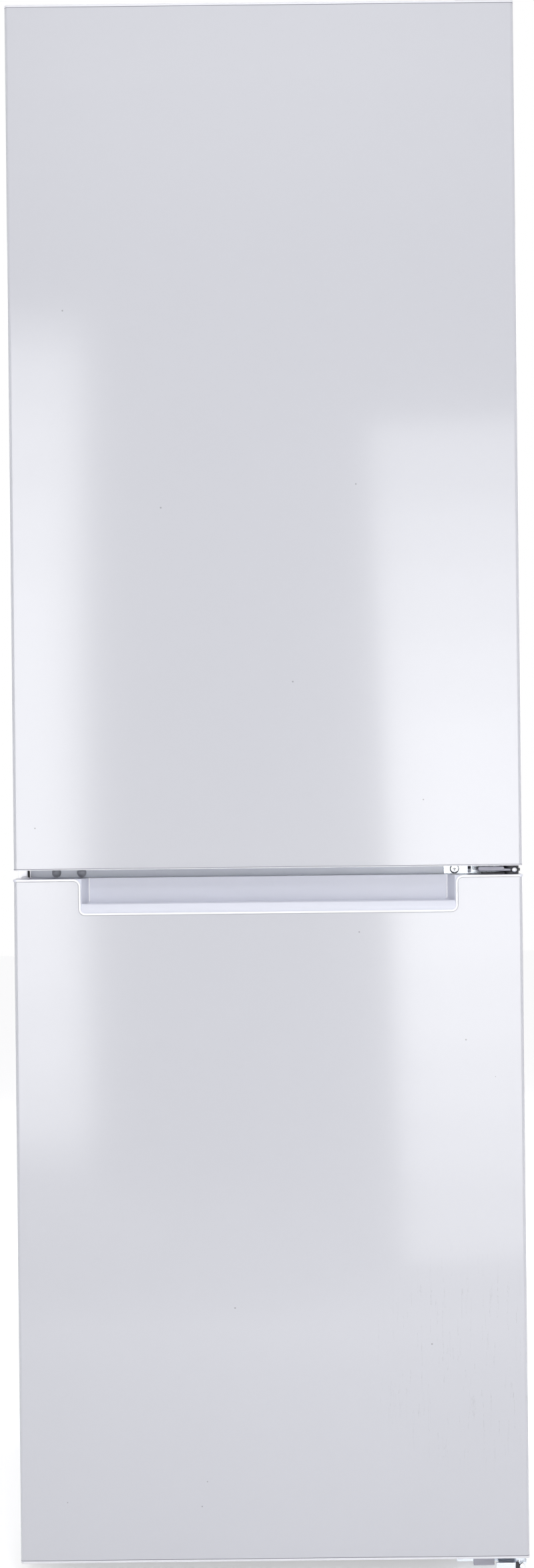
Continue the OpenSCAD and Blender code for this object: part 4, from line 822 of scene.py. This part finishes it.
def door_bin(y, z0, h, sag):
    """A bin that hangs on the door: a tub whose front wall sags gently at the middle of its rim, an ear on
    either end, and a raised band along the front."""
    half, edge, rim = 178.3, y[1], z0 + h
    tub = vessel((-half, half), y, (z0, rim), 10, 2.5, 2.0, 6, 30)
    tub = dipped(tub, lambda p: (p[:, 1] > edge - 6) & (p[:, 2] > rim - sag - 4),
                 lambda p: rim - (p[:, 2] < rim - 0.1) * 0.8 - sag * np.cos(pi / 2 * p[:, 0] / (half + 1)) ** 2)
    tub = dipped(tub, lambda p: (p[:, 1] < y[0] + 4) & (p[:, 2] > z0 + h * 0.86),
                 lambda p: z0 + h * 0.9 - (p[:, 2] < rim - 0.1) * 0.8)
    ear = pad((half - 1, 183.9), (y[0] + 4, y[0] + 27), (rim - 14, rim - 10), 2, 0.8)
    low = z0 + h * 0.36
    band = pad((-half + 16, half - 16), (low, low + 9), (edge - 1.6, edge - 0.05), 3.5, 0.7, "y")
    return [tub, ear, mirrored(ear), band]


def door_shelves():
    """The three small bins, as one piece, and the bottle bin below them."""
    y = span("door_bins")[1]
    bins = [p for floor in bin_floors() for p in door_bin(y, floor, BIN_HEIGHT, 9)]
    make("door_bins_moulded", bins, "door_bins")
    x, y, z = span("bottle_bin")
    make("bottle_bin_moulded", door_bin(y, z[0], z[1] - z[0], 14), "bottle_bin")


def door_linings():
    """The inner faces of the doors: a flat sheet with a raised pan whose edge is a wide quarter round, two
    tall ridges that carry the bins, and the lugs under the bins' ears."""
    def lined(node, half, low, high):
        z = span(node)[2]
        return [pad((-296.3, 296.3), (z[0] + 0.1, z[1] - 0.1), (-268.99, -267.02), 1.5, 0.5, "y"),
                carried((-half, half), (low, high), 14, [(0, -269)] + bend((6, -256), 6, 180, 90, 5), "y", 6)]

    def field(half, low, height, r):
        return pad((-half, half), (low, low + height), (-250.8, -249.92), r, 0.4, "y")

    node, floors, bottle_top = "fridge_door_liner", bin_floors(), span("bottle_bin")[2][1]
    ridge = carried((190, 205), (883.6, 1733), 7, [(0, -252)] + bend((4, -222), 4, 180, 90, 4), "y", 5)
    lugs = [pad((185.1, 192), (-251, -222), (level - 6, level), 2.2, 1.0)
            for level in floors + [f + 58 for f in floors] + [bottle_top - 14]]
    make("fridge_door_lining", [*lined(node, 230, 883.25, 1783), ridge, mirrored(ridge), *lugs,
                                *map(mirrored, lugs), *(field(176, f + 84, 118, 16) for f in floors[:2])],
         node)
    node = "freezer_door_liner"
    fields = [field(196, low, 196, 18) for low in (120, 336, 552)]
    make("freezer_door_lining", lined(node, 220, 107, 772.25) + fields, node)


# ---- inside the cabinet ----

def freezer_drawers():
    """Each drawer is a leaning tub with a hand opening in its front plate, a rim on either side and pressed
    ribs: thin round-edged pads that stand out of the wall."""
    for node in ("freezer_drawer_low", "freezer_drawer_mid", "freezer_drawer_top"):
        x, y, (low, top) = span(node)
        face, opening = y[0], (-65, 65, top - 46, top - 22)
        front = framed((-221.9, 221.9, low, top), opening, (face, face + 2.5), (5, 6), 0.7)
        cup = framed((-70, 70, top - 51, top - 17), opening, (face + 2, face + 6), (8, 6), 0.6)
        tub = vessel((-213, 213), (face + 2.2, y[1]), (low + 2, top - 4), 12, 2.5, 1.5, 7)
        rim = pad((211.5, x[1]), (face + 2.2, y[1]), (top - 7.7, top - 4.7), 2.5, 0.9)
        ribs = [pad((-205, 205), (low + h - 1.2, low + h + 1.2), (face, face + 1.4), 1.1, 0.5, "y")
                for h in (24, 34, 44)]
        starts = np.linspace(face + 22, y[1] - 38, 6)
        sides = [pad((211.6, 213.0), (start, start + 4), (low + 16, top - 26), 0.6, 0.4) for start in starts]
        make(node + "_moulded", [front, cup, tub, rim, mirrored(rim), *ribs, *sides, *map(mirrored, sides)], node)


def crisper():
    """The vegetable drawer: a tub whose front rim dips in a smooth arc for the hand, and ribs under the dip."""
    x, y, (low, top) = span("crisper_drawer")
    tub = dipped(vessel(x, y, (low, top), 14, 2.5, 2.5, 8, 40),
                 lambda p: (p[:, 1] < y[0] + 3.6) & (p[:, 2] > top - 40) & (np.abs(p[:, 0]) < 75),
                 lambda p: top - (p[:, 2] < top - 0.1) - 14.5 - 14.5 * np.cos(pi * np.clip(p[:, 0] / 74, -1, 1)))
    ribs = [pad((-190, 190), (low + h - 1.3, low + h + 1.3), (y[0] + 1.4, y[0] + 3.8), 1.2, 0.6, "y")
            for h in (30, 42, 54)]
    make("crisper_moulded", [tub, *ribs], "crisper_drawer")


def shelf_levels():
    """The heights of the four shelves' undersides."""
    low, high = span("shelf_trims")[2]
    first, last = low + 7, high - 16
    return [first + (last - first) * k / 3 for k in range(4)]


def shelf_edges():
    """Front and rear strips of the shelves: a C-shaped section with a round nose carried along x."""
    x, y, z = span("shelf_trims")
    front = [(16, -7), (3.5, -7)] + bend((3.5, -3.5), 3.5, 270, 180, 4) + bend((3.5, 4.5), 3.5, 180, 90, 4)
    front += [(16, 8), (16, 4.05), (6.2, 4.05), (6.2, -0.05), (16, -0.05)]
    rear = [(0, 4.05), (0, 14), (1.5, 16), (10.5, 16), (12, 14.5), (12, 0), (5.9, 0), (5.9, 4.05)]
    half = x[1]
    parts = []
    for level in shelf_levels():
        for section, start in ((front, y[0]), (rear, y[1] - 12)):
            outline = np.array(section) + (start, level)
            parts.append(scaled_rings(outline, outline.mean(0), [(0.96, -half), (1, -half + 0.8), (1, half - 0.8),
                                                                 (0.96, half)], "x"))
    make("shelf_edge_strips", parts, "shelf_trims")


def bulb():
    """A small bulb: its radius follows a circle and eases into the neck along half a cosine."""
    x, y, z = span("lamp_bulb")
    c = middle_of(y, z)
    r = (z[1] - z[0]) / 2 - 0.02
    ball = [(r * sin(t), -r * cos(t)) for t in np.linspace(0, 2.0, 14)]
    wide, end = ball[-1]
    neck = [(7 + (wide - 7) * (0.5 + 0.5 * cos(pi * t)), end + t * 9) for t in np.linspace(0.15, 1, 6)]
    make("lamp_bulb_blown", [turned(ball + neck, c, "x")], "lamp_bulb", angle=32)
    thread = [(6.3 + 0.35 * cos(k * pi), neck[-1][1] + 1 + k * 1.5) for k in range(26)]
    thread = [q for q in thread if q[1] < x[1] - 1]
    make("lamp_thread", [turned([(6.0, thread[0][1]), *thread, (5.6, x[1] - 0.1)], c, "x")], slot="aluminium")


def lamp_lens():
    """The lamp's cover: a plate with a fine row of half-round ribs under it, and the rim that clips in."""
    x, y, z = span("lamp_cover")
    plate = pad(x, y, (z[0] + 0.9, z[0] + 5), 5, 1.0)
    rim = vessel((x[0] + 6.4, x[1] - 6.4), (y[0] + 6.4, y[1] - 6.4), (z[0] + 3, z[1]), 3, 1.6, 0.0, 1.0)
    ribs = [bar((u, y[0] + 4, z[0] + 1.0), (u, y[1] - 4, z[0] + 1.0), 0.95, 8) for u in np.arange(-58, 59, 5.8)]
    make("lamp_cover_ribbed", [plate, rim, *ribs], "lamp_cover")


def knob():
    """The dial of the thermostat: a turned skirt and boss, fine ribs round it, and a grip bar with round ends."""
    x, y, z = span("thermostat_knob")
    c = middle_of(x, z)
    face = y[0] + 17
    skirt = [(3, 15.9), (3, 0), (16.2, 0), (16.95, -1.2), (16.6, -8.4), (15.6, -9.6), (13.8, -9.98), (9.6, -9.98),
             (9.2, -13.6), (8.2, -14.8), (0, -14.9)]
    ribs = [bar((c[0] + 16.1 * cos(a), face - 1.8, c[1] + 16.1 * sin(a)),
                (c[0] + 15.7 * cos(a), face - 8.8, c[1] + 15.7 * sin(a)), 0.85, 6)
            for a in np.linspace(0, 2 * pi, 24, endpoint=False)]
    grip = pad((c[0] - 2.5, c[0] + 2.5), (c[1] - 15.2, c[1] + 15.2), (face - 16.98, face - 9.5), 2.4, 0.9, "y")
    dial = turned([(r, face + d) for r, d in skirt], c, n=48)
    make("thermostat_dial", [dial, grip, *ribs], "thermostat_knob", angle=32)


def dial_marks():
    """Short strokes round the dial that grow from the low end of its range to the high end."""
    x, y, z = -70, -215.02, 1769
    marks = []
    for k in range(7):
        a = radians(240 - k * 50)
        near, far = 18.6, 19.8 + k * 0.35
        if abs(far * sin(a)) <= 23.5:
            marks.append(bar((x + near * cos(a), y, z + near * sin(a)), (x + far * cos(a), y, z + far * sin(a)),
                             0.22 + 0.05 * k, 8))
    make("dial_marks", marks, slot="grey_plastic")


def fridge_lining():
    """The moulded inside of the fridge space: rings from the outer back forward, round the flange and back
    inside, each a rounded rectangle of its own size, so that every inner edge is round."""
    walls = [(238, 875, 1791, 14, 216.9), (243.6, 869.4, 1796.6, 14, 211), (243.6, 869.4, 1796.6, 13, -254.1),
             (263.4, 866.85, 1804.4, 1.2, -254.1), (263.4, 866.85, 1804.4, 1.2, -254.8),
             (262.9, 867.2, 1803.9, 1.0, -255), (246.5, 868.2, 1798.6, 9, -255),
             (244.4, 869.2, 1797.0, 10, -254.5), (242.9, 870.4, 1795.8, 11, -253.4),
             (242, 871.27, 1795, 12, -251.5), (242, 871.27, 1795, 12, 205)]
    for a in np.linspace(0.2, pi / 2, 6):
        inward = 10 * (1 - cos(a))
        walls.append((242 - inward, 871.27 + inward, 1795 - inward, 12, 205 + 9.9 * sin(a)))
    parts = [skin([placed(rounded((-half, half), (low, high), r, 6), y, "y") for half, low, high, r, y in walls])]
    for level in shelf_levels():
        rib = pad((234, 243), (-108, 214.5), (level - 6, level), 3, 1.4)
        parts += [rib, mirrored(rib)]
    parts.append(pad((-206, 206), (1098, 1704), (213.4, 216), 22, 1.1, "y"))
    parts.append(pad((-180, 180), (205.4, 215), (877.3, 881.2), 3, 1.2))
    lip = [(11.4, 215.2), (11.4, 213.9), (10.6, 213.2), (9.2, 213.2), (8.1, 214.6), (8.1, 215.2)]
    make("fridge_lining_moulded", [*parts, turned(lip, DRAIN)], "fridge_liner")
    make("drain_shadow", [turned([(8.2, 214.99), (8.2, 214.8), (0, 214.7)], DRAIN, n=24)], slot="black_plastic")


# ---- machine bay, feet and rollers ----

def tray():
    """The tray that catches thaw water, a low leaning tub on the compressor."""
    make("drip_tray_moulded", [vessel(*span("drip_tray"), 12, 2, 2.5, 6)], "drip_tray")


def compressor():
    """The compressor's shell: a profile of a flat crown, a shoulder of 34 mm radius, a straight wall and a
    round foot, turned about its axis; with its weld bead, mounting plates, fence and stubs."""
    x, y, base = -40.0, 193.0, 59.0
    lower = [(0, 0.6), (39, 0.4)] + bend((42, 30), 30, -72, 0, 10)
    upper = bend((38, 118), 34, 0, 68, 10) + [(24, 151.6), (0, 151.9)]
    weld = bend((71.6, 81), 3.2, -70, 70, 8)
    shell = turned([(r, base + h) for r, h in lower + weld + upper], (x, y), "z", 72)
    plates = []
    for s in (-1, 1):
        for t in (-1, 1):
            u, v, bolt = x + s * 70, y + t * 50, 6.1
            edge = (u - 19.9, u + 19.9, *sorted((y, y + t * 61.9)))
            hole = (u - bolt, u + bolt, v - bolt, v + bolt)
            plates.append(framed(edge, hole, (base - 2, base + 1), (3, 6), 0.5, "z"))
    plates.append(pad((x - 89, x + 89), (y - 29.8, y + 29.8), (base - 1.95, base + 2), 6, 0.8))
    fence = pad((x + 52, x + 81), (y - 27.8, y + 27.8), (base + 44.2, base + 115.8), 3, 1.2)
    stubs = [bar((x + 66 * cos(a), y + 66 * sin(a), base + 60), (x + 87.5 * cos(a), y + 87.5 * sin(a), base + 60),
                 4.95, 16) for a in (radians(150), radians(200), radians(75))]
    make("compressor_shell", [shell, *plates, fence, *stubs], "compressor")


def feet():
    """Screw feet: the base's radius swings with the angle as a row of shallow flutes, and the stem's radius
    swings with height as a thread."""
    flutes, points = 16, 96
    flute = 0.5 - 0.5 * np.cos(flutes * np.linspace(0, 2 * pi, points, endpoint=False))
    for node in ("foot_left", "foot_right"):
        x, y, z = span(node)
        c = middle_of(x, y)
        steps = ((15.5, 0, 0), (17.4, 0.6, 0.2), (17.95, 2.0, 0.9), (17.95, 6.6, 0.9), (17.2, 7.7, 0.3),
                 (14.0, 8.0, 0))
        rings = [placed(circle(c, r - depth * flute, points), level) for r, level, depth in steps]
        nut = pad((c[0] - 7.6, c[0] + 7.6), (c[1] - 7.6, c[1] + 7.6), (7.9, 14), 2.6, 0.5)
        thread = [(4.98 - 0.55 * (k % 2), 13.8 + k * 0.7) for k in range(int((z[1] - 14.4) / 0.7))]
        stem = turned([(4.4, 8), *thread, (4.4, z[1] - 0.2)], c, "z", 20)
        make(node + "_turned", [skin(rings), nut, stem], node)


def rollers():
    """Rear rollers: a tread with two grooves, its side walls dished towards the hub, turned about the axle."""
    x, y, z = span("rear_rollers")
    half = [(4.06, -7.95), (8, -7.95), (8.6, -6.4), (15.5, -6.0), (16.6, -7.4), (18.6, -7.9), (19.9, -6.8),
            (19.98, -3.4), (19.2, -2.9), (19.2, -2.3), (19.98, -1.8)]
    section = half + [(r, -t) for r, t in half[::-1]]
    parts = [turned([(r, side * 250.5 + t) for r, t in section], middle_of(y, z), "x", 56, around=True)
             for side in (-1, 1)]
    make("rear_rollers_moulded", parts, "rear_rollers", angle=35)


for build_piece in (door_seals, freezer_trim, painted_joint_shade, plug_domes, hinge_hole_plug, middle_hinge,
                    bottom_hinge_front, knob, freezer_drawers, crisper, door_shelves, shelf_edges, bulb, tray,
                    fridge_lining, door_linings, dial_marks, lamp_lens, compressor, feet, rollers, hinge_cover,
                    hinge_screw):
    build_piece()


# ---- nodes whose own shape is right: the same mesh, its edges softened ----

EDGES = {0.0: "condenser freezer_evaporator refrigerant_pipes cabinet_foam", 0.15: "hinge_screws",
         0.3: "fridge_door_skin", 0.45: "freezer_door_skin", 0.6: "fridge_door_bottom_cap",
         0.8: "cord_gland side_panel_left side_panel_right fridge_door_top_cap freezer_door_bottom_cap "
              "compressor_grommets freezer_liner",
         0.9: "shelf_glass crisper_cover", 1.2: "control_housing", 1.5: "relay_cover"}
EDGE_OF_NODE = {node: edge for edge, names in EDGES.items() for node in names.split()}
for node, cad in nodes.items():
    if not cad.hide_render:
        softened(node, EDGE_OF_NODE.get(node, 0.4))
